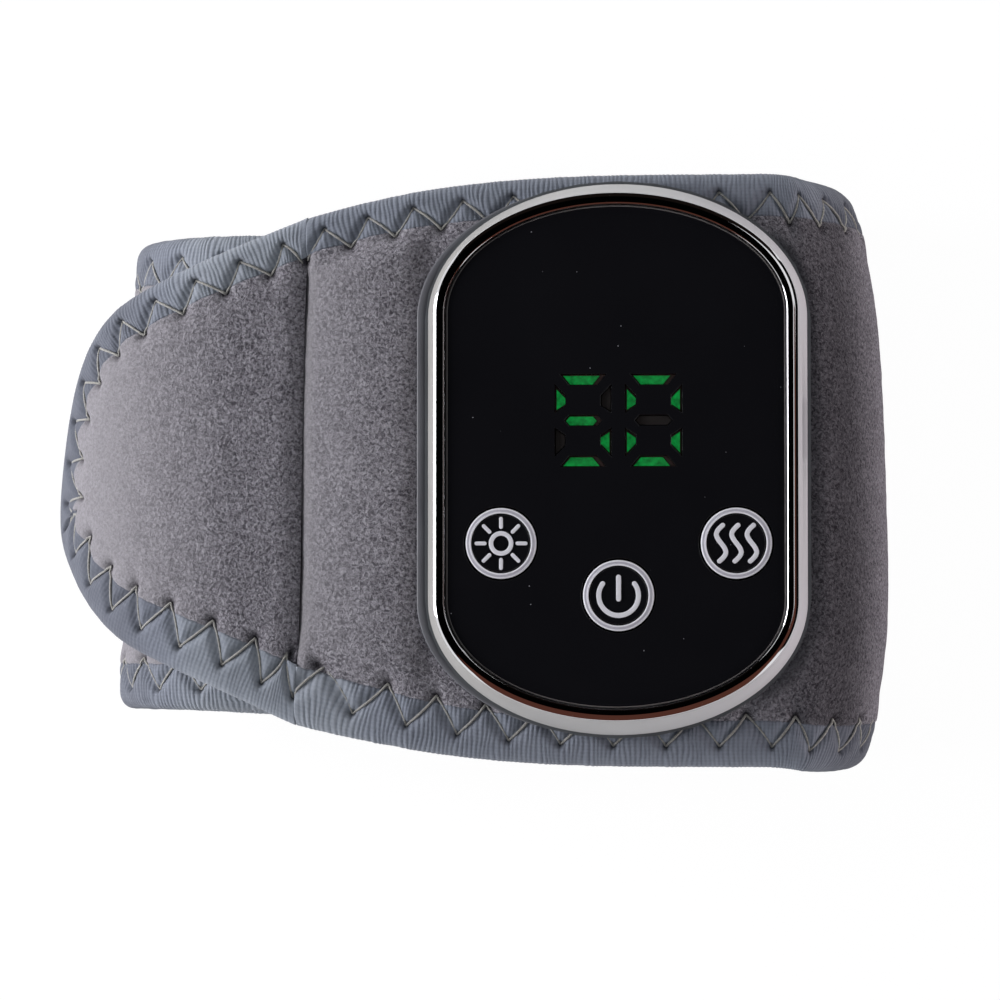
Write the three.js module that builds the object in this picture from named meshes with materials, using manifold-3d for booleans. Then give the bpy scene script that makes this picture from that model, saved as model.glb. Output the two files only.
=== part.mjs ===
// Heated wrist massager: a padded wrap, closed round the wrist, with a rechargeable control unit on it.
// Millimetres. +Z is up through the control unit, +X runs round the wrist and +Y along the arm.
// The origin lies on the flat underside of the rear band, straight below the middle of the unit.

import * as THREE from "three";
import { mergeVertices } from "three/addons/utils/BufferGeometryUtils.js";
import Module from "manifold-3d";

const wasm = await Module();
wasm.setup();

// Clearances
const fit = 0.15; // between rigid pieces that seat on each other
const layerGap = 0.3; // between layers of cloth
const foldGap = 0.5; // where the wrap folds
const overrun = 3; // how far a cutting solid passes what it cuts

// Layers of the wrap, outside to inside
const coverThickness = 2.2;
const clampThickness = 1.5;
const filmThickness = 0.3;
const liningThickness = 1.3;
const strapThickness = 3.2;
const hookThickness = 1;
const rearCoverThickness = 2;
const rearLiningThickness = 1.7;

// The loop, seen from the end of the arm
const loopHeight = 44; // table to the front panel's face
const seamX = -44; // fold line of the closure strap
const flatFromX = -30; // the front panel is level from here
const bendStartX = 26;
const bendReach = 12.55;
const leftBendX = -54;
const leftReach = 18.9;
const innerEndX = -28; // end of the rear band, under the front panel
const strapLevelRun = 10; // strap beside the seam, before it curls down
const strapCurlRadius = 30;
const strapCurlAngle = 62; // degrees
const strapTipRun = 6.5;

// The wrap laid flat: half its width from place to place
const wrapOffset = -1.35; // its middle line, off the unit's
const wrapEndReach = 5.55; // cloth beyond each end of the unit, on its middle line
const seamNarrowing = 5.75;
const wideFromSeam = 53; // full width at this distance from the seam
const narrowingPower = 2.5;
const rearHalfWidth = 34.05; // at the left bend and the inner end
const rearCornerRadius = 14;
const strapTipHalfWidth = 15.8;
const strapTipLength = 22.9;
const strapTipDrop = 5.85; // the tip sits low of the middle line
const strapTipDropPower = 3.2;

// How the bends stray from straight rolls
const bendCrown = 4.5; // the right bend stands out further in the middle
const bendCrownPower = 3.5;
const bendLeanShare = 0.03;
const bendCrownFromX = 20;
const bendCrownRun = 14;
const leftLeanShare = 0.037;
const leftLeanFromX = -48;
const leftLeanRun = 12;

// Binding tape, folded round every edge
const tapeWidth = 6.5;
const tapeThickness = 0.7;
const tapeCorner = 0.8;
const tapeSink = 0.5; // the front tape lies this far below the cloth
const pinchRun = 4; // the cloth rises to full thickness in this distance

// Sewn fold between the front panel and the strap
const seamValley = 0.9;
const seamValleyRun = 3.5;

// Pieces inside the wrap
const filmMargin = 14; // from the wrap's edge
const hookMargin = 13;
const hookLength = 18;
const hookFromSeam = 2;
const innerFromSeam = 5;
const innerBeforeBend = 2;

// Control unit outline: straight long sides with half-ellipse ends
const unitHalfWidth = 25; // outside of the bezel
const unitStraightHalf = 19.7;
const unitEndArc = 16.5;
const bezelWidth = 1.9;
const frameFlareSide = 1.5;
const frameFlareEnd = 2.3;
const flangeProud = 0.5;
const frameLip = 0.2;
const frameWall = 0.9; // beside the bezel, above the shelf
const shelfWidth = 0.65; // under the lens
const shelfThickness = 1.2;
const shellWall = 1.2;
const floorThickness = 1.4;
const lensThickness = 1.6;
const bezelRise = 0.5; // above the lens

// Neck of the shell, through the cloth, and the clamp plate behind it
const neckSideInset = 10; // from the bezel's outside
const neckStraightInset = 4.7;
const neckEndInset = 4.5;
const clampRim = 2.6; // how far the clamp plate reaches past the neck
const clampScrewInset = 4.5; // from the neck's side
const clampScrewSetback = 1; // from the end of its straight side
const screwShank = 0.9;
const screwHead = 1.8;
const screwHeadHeight = 0.6;
const clampScrewLength = 4.3;

// Battery and boards
const padThickness = 0.4;
const batteryToSocket = 2.7;
const batteryToRibbon = 2.45;
const batterySetback = 2; // from the board's upper edge
const batteryThickness = 4;
const batteryCorner = 2;
const batteryEdge = 0.5;
const batteryHeadroom = 0.5;
const boardThickness = 1;
const boardMargin = 0.4; // to the shell's wall
const boardPastStraight = 0.8; // its upper edge, past the straight sides
const postRadius = 1.6;
const postInset = 1.1; // from the shell's wall
const upperPostSetback = 4; // from the board's upper edge
const lowerPostPast = 4.8; // past the straight sides
const boardScrewLength = 3.4;
const chipSide = 5;
const chipHeight = 0.8;
const chipX = -8;
const chipSetback = 4.1; // from the board's upper edge

// Two seven-bar digits
const digitHeight = 12.7;
const digitWidth = 7.8;
const digitPitch = 9.65;
const faceShift = 0.4; // digits and buttons sit this far right of the middle
const digitSetback = 14.8; // middle of the digits, from the end of the straight sides
const barWidth = 1.5;
const barGap = 0.25; // half the gap where two bars meet
const guideInset = 0.28; // light guide inside its window
const guideRecess = 0.5; // below the lens face
const guideBaseThickness = 0.8;
const guideMargin = 1.2;

// Buttons
const capRadius = 5;
const capFlange = 0.5;
const capFlangeHeight = 0.55;
const capDish = 0.2;
const buttonTravel = 0.4;
const ringOuter = 4.95;
const ringWidth = 0.78;
const ringHeight = 0.5;
const ringProud = 0.12;
const sideButtonMargin = 0.7; // from its flange to the lens shelf
const sideButtonSetback = 7.75; // from the end of the straight sides
const powerButtonSetback = 0.6;
const switchSide = 4.4;
const switchHeight = 0.9;
const plungerRadius = 1;
const plungerSeat = 0.6; // how far the plunger sits in its switch

// Vibration motor across the upper end of the unit
const motorRadius = 3;
const motorLength = 11;
const motorCentreX = -4;
const motorSpacing = 2.8; // from the board's end to the sleeve
const motorShaftRadius = 0.5;
const motorShaftOverhang = 6;
const sleeveWall = 0.55;
const sleeveLength = 8;
const endCapThickness = 0.8;
const weightRadius = 2.8;
const weightHub = 1.2;
const weightLength = 4.4;
const weightStandoff = 1;

// Charging socket in the right-hand side
const socketWidth = 8.9;
const socketHeight = 3.2;
const socketLength = 7.3;
const socketWall = 0.4;
const socketCorner = 1.2;
const socketY = 4;
const socketTongueWidth = 6.4;
const socketTongueThickness = 0.7;
const socketTongueSetback = 0.8;
const socketBackLength = 1.2;

// Heater lead and temperature sensor
const ribbonWidth = 8;
const ribbonThickness = 0.5;
const ribbonPast = 4.5; // past the straight sides
const slotClearance = 0.4;
const sensorRadius = 1.2;
const sensorX = -28;

// Fineness of curves
const lineStep = 16;
const arcStep = 6.5;
const outlineSteps = 8; // per quarter of a half-ellipse end
const roundSides = 20;
const smallSides = 10;
const cornerSides = 3;

// Heights worked out from the layers. The rear band's inner end lies under the front panel.
const rearThickness = rearCoverThickness + layerGap + rearLiningThickness;
const filmTop = -coverThickness - layerGap - clampThickness - layerGap;
const liningTop = filmTop - filmThickness - layerGap;
const panelThickness = liningThickness - liningTop;
const innerEndZ = loopHeight - panelThickness - layerGap;
const strapZ = innerEndZ + layerGap + hookThickness + layerGap + strapThickness;

// Places worked out from the unit's outline, which the wrap, the neck and the pieces inside all follow
const wrapHalfWidth = unitStraightHalf + unitEndArc + wrapEndReach;
const neckHalfWidth = unitHalfWidth - neckSideInset;
const neckStraightHalf = unitStraightHalf - neckStraightInset;
const neckEndArc = unitEndArc - neckEndInset;
const clampScrewX = neckHalfWidth - clampScrewInset;
const clampScrewY = neckStraightHalf - clampScrewSetback;
const boardTopEdgeY = unitStraightHalf + boardPastStraight;
const upperPostY = boardTopEdgeY - upperPostSetback;
const lowerPostY = -unitStraightHalf - lowerPostPast;
const chipY = boardTopEdgeY - chipSetback;
const digitCentreY = unitStraightHalf - digitSetback;
const sideButtonY = sideButtonSetback - unitStraightHalf;
const powerButtonY = powerButtonSetback - unitStraightHalf;
const ribbonY = -unitStraightHalf - ribbonPast;
const batteryHalfWidth = unitHalfWidth - socketLength - batteryToSocket;
const batteryTopY = boardTopEdgeY - batterySetback;
const batteryBottomY = ribbonY + ribbonThickness / 2 + batteryToRibbon;

const clamp01 = (value) => Math.min(1, Math.max(0, value));
const smooth = (value) => clamp01(value) ** 2 * (3 - 2 * clamp01(value));

// Materials
function finish(color, roughness, metalness = 0) {
  return new THREE.MeshStandardMaterial({ color, roughness, metalness });
}
const pileCloth = finish("#67646a", 0.95);
const liningCloth = finish("#5d5a60", 0.95);
const bindingTape = finish("#757d89", 0.85);
const hookTape = finish("#4b4d52", 0.9);
const foam = finish("#3a3b3e", 0.95);
const heaterFilm = finish("#b8762c", 0.4);
const darkPlastic = finish("#5a5c5e", 0.55);
const greyPlastic = finish("#bcbcb9", 0.45);
const chromePlate = finish("#dcdcde", 0.08, 1);
const blackGloss = finish("#0d0e10", 0.08);
const silverInk = finish("#c9cace", 0.3, 0.6);
const lightPipe = finish("#1fae4e", 0.3);
const boardGreen = finish("#1d5a35", 0.5);
const cellFoil = finish("#a7abb0", 0.35, 0.7);
const steel = finish("#b4b6b8", 0.3, 1);
const blackNylon = finish("#1e1f21", 0.6);
const rubber = finish("#26272a", 0.8);

// Turns a geometry into a solid that can be joined and cut.
function solid(geometry) {
  const bare = geometry.clone();
  bare.deleteAttribute("normal");
  bare.deleteAttribute("uv");
  const merged = mergeVertices(bare, 1e-4);
  return new wasm.Manifold(
    new wasm.Mesh({
      numProp: 3,
      vertProperties: new Float32Array(merged.attributes.position.array),
      triVerts: new Uint32Array(merged.index.array),
    }),
  );
}

function geometryOf(made) {
  const data = made.getMesh();
  const geometry = new THREE.BufferGeometry();
  geometry.setAttribute("position", new THREE.BufferAttribute(data.vertProperties, 3));
  geometry.setIndex(new THREE.BufferAttribute(data.triVerts, 1));
  return geometry;
}

// One sub-part: its name, its geometry or solid, and its material.
function part(name, shape, material) {
  const geometry = shape.isBufferGeometry ? shape : geometryOf(shape);
  const flat = geometry.index ? geometry.toNonIndexed() : geometry;
  flat.computeVertexNormals();
  const mesh = new THREE.Mesh(flat, material);
  mesh.name = name;
  return mesh;
}

// A closed body from stations that each hold two chains of points, a and b, run the same way.
function loft(stations) {
  const rings = stations.map(({ a, b }) => [...a, ...[...b].reverse()]);
  const count = rings[0].length;
  const chain = stations[0].a.length;
  const index = [];
  const quad = (p, q, r, t) => index.push(p, q, r, p, r, t);
  for (let i = 0; i + 1 < rings.length; i++) {
    for (let j = 0; j < count; j++) {
      const next = (j + 1) % count;
      quad(i * count + j, i * count + next, (i + 1) * count + next, (i + 1) * count + j);
    }
  }
  const last = (rings.length - 1) * count;
  for (let j = 0; j + 1 < chain; j++) {
    quad(j, count - 1 - j, count - 2 - j, j + 1);
    quad(last + j, last + j + 1, last + count - 2 - j, last + count - 1 - j);
  }
  const geometry = new THREE.BufferGeometry().setFromPoints(rings.flat());
  return geometry.setIndex(index);
}

// A line through the loop in the XZ plane. s runs along it, n stands out of it, y runs along the arm.
class Run {
  constructor(curves, stray, thin) {
    this.line = new THREE.CurvePath();
    curves.forEach((curve) => this.line.add(curve));
    this.length = this.line.getLength();
    this.stray = stray;
    this.thin = thin;
  }

  place(s, y, n) {
    const share = clamp01(s / this.length);
    const point = this.line.getPoint(share);
    const along = this.line.getTangent(share);
    const depth = n * this.thin(s);
    const x = point.x - along.y * depth;
    const z = point.y + along.x * depth;
    return new THREE.Vector3(x + this.stray(x, y), y, z);
  }

  // Places for cross-sections: a few on straight stretches and more round the bends.
  stops(from, to) {
    const places = [from, to];
    let start = 0;
    for (const curve of this.line.curves) {
      const size = curve.getLength();
      const steps = Math.ceil(size / (curve.isLineCurve ? lineStep : arcStep));
      for (let i = 0; i <= steps; i++) places.push(start + (size * i) / steps);
      start += size;
    }
    const inside = places.filter((s) => s >= from && s <= to).sort((p, q) => p - q);
    return inside.filter((s, i) => i === 0 || s - inside[i - 1] > layerGap);
  }
}

const line = (x0, z0, x1, z1) =>
  new THREE.LineCurve(new THREE.Vector2(x0, z0), new THREE.Vector2(x1, z1));
const arc = (x, z, reachX, reachZ, from, to) =>
  new THREE.EllipseCurve(x, z, reachX, reachZ, from, to, true);

function strayOfBends(x, y) {
  const across = (y - wrapOffset) / wrapHalfWidth;
  const right = smooth((x - bendCrownFromX) / bendCrownRun);
  const left = smooth((leftLeanFromX - x) / leftLeanRun);
  const crown = bendCrown * Math.abs(across) ** bendCrownPower;
  const lean = bendLeanShare * (y - wrapOffset);
  return left * leftLeanShare * (y - wrapOffset) - right * (crown + lean);
}

const midHeight = loopHeight / 2;
const endShare = rearThickness / panelThickness;
const seamShare = (strapZ - loopHeight + panelThickness) / panelThickness;
const seamSlope = flatFromX - seamX;

// The front panel thins down to the strap at one end and to the rear band at the other.
const frontRun = new Run(
  [
    line(seamX, strapZ, flatFromX, loopHeight),
    line(flatFromX, loopHeight, bendStartX, loopHeight),
    arc(bendStartX, midHeight, bendReach, midHeight, Math.PI / 2, 0),
  ],
  strayOfBends,
  (s) => {
    const bent = clamp01((s - (bendStartX - seamX)) / (frontRun.length - (bendStartX - seamX)));
    const seam = 1 - clamp01(s / seamSlope);
    return 1 - (1 - seamShare) * seam - (1 - endShare) * bent;
  },
);

const rearRun = new Run(
  [
    arc(bendStartX, midHeight, bendReach, midHeight, 0, -Math.PI / 2),
    line(bendStartX, 0, leftBendX, 0),
    arc(leftBendX, innerEndZ / 2, leftReach, innerEndZ / 2, (3 * Math.PI) / 2, Math.PI / 2),
    line(leftBendX, innerEndZ, innerEndX, innerEndZ),
  ],
  strayOfBends,
  () => 1,
);

const curl = THREE.MathUtils.degToRad(strapCurlAngle);
const curlX = seamX - strapLevelRun;
const curlZ = strapZ - strapCurlRadius;
const curlEndX = curlX - strapCurlRadius * Math.sin(curl);
const curlEndZ = curlZ + strapCurlRadius * Math.cos(curl);
const strapRun = new Run(
  [
    line(
      curlEndX - strapTipRun * Math.cos(curl),
      curlEndZ - strapTipRun * Math.sin(curl),
      curlEndX,
      curlEndZ,
    ),
    arc(curlX, curlZ, strapCurlRadius, strapCurlRadius, Math.PI / 2 + curl, Math.PI / 2),
    line(curlX, strapZ, seamX, strapZ),
  ],
  () => 0,
  () => 1,
);

// Outlines of the three stretches laid flat, as their lower and upper edges in (s, y).
function edges(points) {
  const lower = points.map(({ s, middle, half }) => new THREE.Vector2(s, middle - half));
  const upper = points.map(({ s, middle, half }) => new THREE.Vector2(s, middle + half));
  return { lower, upper };
}

function frontHalf(s) {
  const narrowing = clamp01(1 - s / wideFromSeam) ** narrowingPower;
  return wrapHalfWidth - seamNarrowing * narrowing;
}

const frontOutline = edges(
  frontRun.stops(foldGap / 2, frontRun.length - foldGap / 2).map((s) => ({
    s,
    middle: wrapOffset,
    half: frontHalf(s),
  })),
);

const rearTaperEnd = rearRun.length - (innerEndX - leftBendX) - rearCornerRadius;
function rearHalf(s) {
  return THREE.MathUtils.lerp(wrapHalfWidth, rearHalfWidth, smooth(s / rearTaperEnd));
}

const cornerSteps = 5;
const rearCornerStart = rearRun.length - rearCornerRadius;
const rearOutline = edges([
  ...rearRun.stops(foldGap / 2, rearCornerStart).map((s) => ({
    s,
    middle: wrapOffset,
    half: rearHalf(s),
  })),
  ...Array.from({ length: cornerSteps }, (_, i) => {
    const turn = ((i + 1) / cornerSteps) * (Math.PI / 2);
    return {
      s: rearCornerStart + rearCornerRadius * Math.sin(turn),
      middle: wrapOffset,
      half: rearHalf(rearCornerStart) - rearCornerRadius * (1 - Math.cos(turn)),
    };
  }),
]);

const strapSeamEnd = strapRun.length - foldGap / 2;
function strapEdge(s) {
  const side = (frontHalf(0) - strapTipHalfWidth) / strapRun.length;
  const left = 1 - Math.min(s / strapTipLength, 1);
  return {
    s,
    middle: wrapOffset - strapTipDrop * left ** strapTipDropPower,
    half: (strapTipHalfWidth + side * s) * Math.sqrt(1 - left ** 2),
  };
}
const tipSteps = 9;
const tipStops = Array.from({ length: tipSteps }, (_, i) => {
  const turn = ((i + 1) / tipSteps) * (Math.PI / 2);
  return strapTipLength * (1 - Math.cos(turn));
});
const strapOutline = edges(
  [
    ...tipStops,
    ...strapRun.stops(strapTipLength + arcStep / 2, strapSeamEnd),
  ].map(strapEdge),
);

// Moves a chain of flat points sideways, to the right of its travel for a positive inset.
function insetChain(points, inset) {
  return points.map((point, i) => {
    const before = points[Math.max(i - 1, 0)];
    const after = points[Math.min(i + 1, points.length - 1)];
    const along = after.clone().sub(before).normalize();
    return new THREE.Vector2(point.x + along.y * inset, point.y - along.x * inset);
  });
}

// The cut edge of the cloth lies inside the folded tape, which pinches it flat.
const clothInset = tapeThickness + layerGap;
const pinchedTo = tapeWidth + layerGap; // from the tape's outer edge

function clothOutline(outline) {
  return {
    lower: insetChain(outline.lower, -clothInset),
    upper: insetChain(outline.upper, clothInset),
  };
}

function distanceTo(chains, s, y) {
  const here = new THREE.Vector3(s, y, 0);
  const closest = new THREE.Vector3();
  const distances = chains.flatMap((chain) =>
    chain.slice(1).map((end, i) => {
      const start = chain[i];
      const piece = new THREE.Line3(
        new THREE.Vector3(start.x, start.y, 0),
        new THREE.Vector3(end.x, end.y, 0),
      );
      return piece.closestPointToPoint(here, true, closest).distanceTo(here);
    }),
  );
  return Math.min(...distances);
}

// Points across a row of cloth: close together where the tape pinches it.
const pinchShare = 0.28;
const rampShare = 0.4;
function acrossStops(width) {
  const flat = pinchedTo - clothInset;
  const pinched = Math.min(flat, width * pinchShare);
  const risen = Math.min(flat + pinchRun, width * rampShare);
  const half = [0, pinched, risen, (risen + width / 2) / 2];
  return [...half, width / 2, ...half.map((at) => width - at).reverse()];
}

// A layer of cloth over a stretch of the loop. rise gives its two faces at a flat place.
function sheet(run, outline, rise) {
  return loft(
    outline.lower.map((low, i) => {
      const high = outline.upper[i];
      const width = low.distanceTo(high);
      const flats = acrossStops(width).map((at) => low.clone().lerp(high, at / width));
      const faces = flats.map((p) => ({ p, ...rise(p.x, p.y) }));
      return {
        a: faces.map(({ p, bottom }) => run.place(p.x, p.y, bottom)),
        b: faces.map(({ p, top }) => run.place(p.x, p.y, top)),
      };
    }),
  );
}

// The faces of a layer: full in the middle, and pinched to an edge thickness under the tape.
function pinchedFaces(chains, middle, edge, valleyAt = () => 0) {
  return (s, y) => {
    const risen = smooth((distanceTo(chains, s, y) - pinchedTo) / pinchRun);
    const valley = valleyAt(s) * risen;
    return {
      top: THREE.MathUtils.lerp(edge.top, middle.top, risen) - valley,
      bottom: THREE.MathUtils.lerp(edge.bottom, middle.bottom, risen),
    };
  };
}

// Binding tape folded round an edge, as a channel swept along it with the edge on its left.
function binding(run, chain, top, bottom) {
  const wall = tapeThickness;
  const inner = wall + tapeCorner / 2;
  const outerPoints = [
    [-tapeWidth, bottom],
    [-tapeCorner, bottom],
    [0, bottom + tapeCorner],
    [0, top - tapeCorner],
    [-tapeCorner, top],
    [-tapeWidth, top],
  ];
  const innerPoints = [
    [-tapeWidth, bottom + wall],
    [-inner, bottom + wall],
    [-wall, bottom + inner],
    [-wall, top - inner],
    [-inner, top - wall],
    [-tapeWidth, top - wall],
  ];
  return loft(
    chain.map((point, i) => {
      const before = chain[Math.max(i - 1, 0)];
      const after = chain[Math.min(i + 1, chain.length - 1)];
      const along = after.clone().sub(before).normalize();
      const at = ([out, n]) => run.place(point.x - along.y * out, point.y + along.x * out, n);
      return { a: outerPoints.map(at), b: innerPoints.map(at) };
    }),
  );
}

// Pill outline of the control unit's pieces, in from the bezel's outside.
function pill(side, straight, end) {
  const shape = new THREE.Shape();
  shape.moveTo(side, -straight);
  shape.lineTo(side, straight);
  shape.absellipse(0, straight, side, end, 0, Math.PI);
  shape.lineTo(-side, -straight);
  shape.absellipse(0, -straight, side, end, Math.PI, 2 * Math.PI);
  return shape;
}

const unitPill = (inset) => pill(unitHalfWidth - inset, unitStraightHalf, unitEndArc - inset);

function prism(shape, bottom, top) {
  const depth = top - bottom;
  const options = { depth, bevelEnabled: false, curveSegments: outlineSteps };
  return new THREE.ExtrudeGeometry(shape, options).translate(0, 0, bottom);
}

function rod(radius, bottom, top, x, y, sides = smallSides) {
  const geometry = new THREE.CylinderGeometry(radius, radius, top - bottom, sides);
  return geometry.rotateX(Math.PI / 2).translate(x, y, (bottom + top) / 2);
}

// A body all round the unit's outline from a closed profile of widths and heights.
function pillRing(levels) {
  const steps = 2 * outlineSteps;
  const around = [];
  for (const half of [0, 1]) {
    for (let i = 0; i <= steps; i++) around.push({ half, angle: Math.PI * (half + i / steps) });
  }
  const points = levels.flatMap(({ side, end, z }) =>
    around.map(({ half, angle }) => {
      const centre = half ? -unitStraightHalf : unitStraightHalf;
      return new THREE.Vector3(side * Math.cos(angle), centre + end * Math.sin(angle), z);
    }),
  );
  const index = [];
  const count = around.length;
  levels.forEach((_, j) => {
    const above = (j + 1) % levels.length;
    around.forEach((__, i) => {
      const next = (i + 1) % count;
      const p = j * count + i;
      const q = j * count + next;
      const r = above * count + next;
      index.push(p, q, r, p, r, above * count + i);
    });
  });
  return new THREE.BufferGeometry().setFromPoints(points).setIndex(index);
}

const level = (inset, z) => ({ side: unitHalfWidth - inset, end: unitEndArc - inset, z });

// The wrap

const insideFront = innerFromSeam;
const frontFlatLength = frontRun.line.curves[0].getLength() + bendStartX - flatFromX;
const frontChains = [frontOutline.lower, frontOutline.upper];
const frontEdgeTop = -tapeSink - tapeThickness - layerGap;
const frontEdgeBottom = -panelThickness + tapeSink + tapeThickness + layerGap;
const frontEdgeMiddle = (frontEdgeTop + frontEdgeBottom) / 2;

const frontValley = (s) => seamValley * (1 - smooth(s / seamValleyRun));
const frontCoverFaces = pinchedFaces(
  frontChains,
  { top: 0, bottom: -coverThickness },
  { top: frontEdgeTop, bottom: frontEdgeMiddle + layerGap / 2 },
  frontValley,
);
const frontLiningFaces = pinchedFaces(
  frontChains,
  { top: liningTop, bottom: -panelThickness },
  { top: frontEdgeMiddle - layerGap / 2, bottom: frontEdgeBottom },
);

const neck = pill(neckHalfWidth, neckStraightHalf, neckEndArc);
const neckHole = pill(neckHalfWidth + slotClearance, neckStraightHalf, neckEndArc + slotClearance);
const clampPill = (extra) =>
  pill(neckHalfWidth + clampRim + extra, neckStraightHalf, neckEndArc + clampRim + extra);
const holeThrough = (shape) =>
  solid(prism(shape, loopHeight - panelThickness - overrun, loopHeight + overrun));

function frontPanelCover() {
  const body = solid(sheet(frontRun, clothOutline(frontOutline), frontCoverFaces));
  return part("front_panel_cover", body.subtract(holeThrough(neckHole)), pileCloth);
}

function frontPanelLining() {
  const body = sheet(frontRun, clothOutline(frontOutline), frontLiningFaces);
  return part("front_panel_lining", body, liningCloth);
}

// Flat strips inside the front panel, between the seam and the right bend.
function innerStrip(margin, top, bottom) {
  const stops = frontRun.stops(insideFront, frontFlatLength - innerBeforeBend);
  const strip = edges(stops.map((s) => ({ s, middle: wrapOffset, half: frontHalf(s) - margin })));
  return solid(sheet(frontRun, strip, () => ({ top, bottom })));
}

function frontPadding() {
  const top = -coverThickness - layerGap;
  const sensorHole = rod(
    sensorRadius + slotClearance,
    loopHeight - panelThickness,
    loopHeight,
    sensorX,
    0,
  );
  const body = innerStrip(tapeWidth + pinchRun, top, top - clampThickness)
    .subtract(holeThrough(clampPill(slotClearance)))
    .subtract(solid(sensorHole));
  return part("front_padding", body, foam);
}

function heatingFilm() {
  const body = innerStrip(filmMargin, filmTop, filmTop - filmThickness);
  return part("heating_film", body, heaterFilm);
}

function temperatureSensor() {
  const base = loopHeight + filmTop + fit;
  const body = rod(sensorRadius, base, base + clampThickness - fit, sensorX, 0);
  return part("temperature_sensor", body, blackNylon);
}

function frontBinding(name, chain) {
  const body = binding(frontRun, chain, -tapeSink, -panelThickness + tapeSink);
  return part(name, body, bindingTape);
}

const strapChains = [[...strapOutline.lower].reverse().concat(strapOutline.upper)];
const strapTapeBottom = -strapThickness - layerGap;
const strapValley = (s) => seamValley * (1 - smooth((strapRun.length - s) / seamValleyRun));

function closureStrapCover() {
  const faces = pinchedFaces(
    strapChains,
    { top: 0, bottom: -strapThickness },
    {
      top: -tapeThickness - layerGap,
      bottom: strapTapeBottom + tapeThickness + layerGap,
    },
    strapValley,
  );
  return part("closure_strap_cover", sheet(strapRun, clothOutline(strapOutline), faces), pileCloth);
}

function closureStrapBinding() {
  const body = binding(strapRun, strapChains[0], 0, strapTapeBottom);
  return part("closure_strap_binding", body, bindingTape);
}

function hookPatch() {
  const end = strapRun.length - hookFromSeam;
  const stops = strapRun.stops(end - hookLength, end);
  const strip = edges(
    stops.map((s) => {
      const { middle, half } = strapEdge(s);
      return { s, middle, half: half - hookMargin };
    }),
  );
  const top = -strapThickness - layerGap;
  const body = sheet(strapRun, strip, () => ({ top, bottom: top - hookThickness }));
  return part("hook_patch", body, hookTape);
}

const rearChains = [rearOutline.upper.concat([...rearOutline.lower].reverse())];
const rearEdgeTop = -tapeThickness - layerGap;
const rearEdgeBottom = -rearThickness + tapeThickness + layerGap;
const rearEdgeMiddle = (rearEdgeTop + rearEdgeBottom) / 2;

function rearBandCover() {
  const faces = pinchedFaces(
    rearChains,
    { top: 0, bottom: -rearCoverThickness },
    { top: rearEdgeTop, bottom: rearEdgeMiddle + layerGap / 2 },
  );
  return part("rear_band_cover", sheet(rearRun, clothOutline(rearOutline), faces), pileCloth);
}

function rearBandLining() {
  const faces = pinchedFaces(
    rearChains,
    { top: -rearCoverThickness - layerGap, bottom: -rearThickness },
    { top: rearEdgeMiddle - layerGap / 2, bottom: rearEdgeBottom },
  );
  return part("rear_band_lining", sheet(rearRun, clothOutline(rearOutline), faces), liningCloth);
}

function rearBandBinding() {
  const body = binding(rearRun, rearChains[0], 0, -rearThickness);
  return part("rear_band_binding", body, bindingTape);
}

// The control unit. Its own heights start at the front panel's face.

const floorTop = layerGap + floorThickness;
const padBottom = floorTop + fit;
const batteryBottom = padBottom + padThickness + fit;
const boardBottom = batteryBottom + batteryThickness + batteryHeadroom;
const boardTop = boardBottom + boardThickness;
const onBoard = boardTop + fit;
const flangeBottom = onBoard + switchHeight + fit + buttonTravel;
const flangeTop = flangeBottom + capFlangeHeight;
const lensBottom = flangeTop + fit;
const lensTop = lensBottom + lensThickness;
const shelfTop = lensBottom - fit;
const shelfBottom = shelfTop - shelfThickness;
const lensInset = bezelWidth + fit;
const shelfInset = lensInset + shelfWidth;
const wallInset = frameWall - frameLip;
const shellInset = wallInset + fit;
const cavityInset = shellInset + shellWall;
const baseLevel = (z) => ({
  side: unitHalfWidth + frameFlareSide,
  end: unitEndArc + frameFlareEnd,
  z,
});

// Half the width of an inset pill outline at a height y.
function pillHalfAt(inset, y) {
  const beyond = Math.max(0, Math.abs(y) - unitStraightHalf) / (unitEndArc - inset);
  return (unitHalfWidth - inset) * Math.sqrt(1 - beyond ** 2);
}

const socketZ = boardBottom - fit - socketHeight / 2;
const socketOutX = unitHalfWidth;
const motorY = boardTopEdgeY + motorSpacing + motorRadius + fit + sleeveWall;
const motorZ = floorTop + fit + sleeveWall + fit + motorRadius;
const clampTop = -coverThickness - layerGap;
const clampBottom = clampTop - clampThickness;
const neckBottom = clampTop + layerGap;
const sideButtonX = unitHalfWidth - shelfInset - sideButtonMargin - capRadius - capFlange;

const clampScrewPlaces = [-1, 1].flatMap((across) =>
  [-1, 1].map((along) => ({ x: across * clampScrewX, y: along * clampScrewY })),
);
const boardPostPlaces = [upperPostY, lowerPostY].flatMap((y) =>
  [-1, 1].map((across) => ({
    x: across * (pillHalfAt(cavityInset, y) - postInset - postRadius),
    y,
  })),
);

function roundedRectangle(width, height, corner) {
  const shape = new THREE.Shape();
  const x = width / 2;
  const y = height / 2;
  shape.moveTo(x, corner - y);
  shape.lineTo(x, y - corner);
  shape.absarc(x - corner, y - corner, corner, 0, Math.PI / 2);
  shape.lineTo(corner - x, y);
  shape.absarc(corner - x, y - corner, corner, Math.PI / 2, Math.PI);
  shape.lineTo(-x, corner - y);
  shape.absarc(corner - x, corner - y, corner, Math.PI, (3 * Math.PI) / 2);
  shape.lineTo(x - corner, -y);
  shape.absarc(x - corner, corner - y, corner, (3 * Math.PI) / 2, 2 * Math.PI);
  return shape;
}

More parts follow.
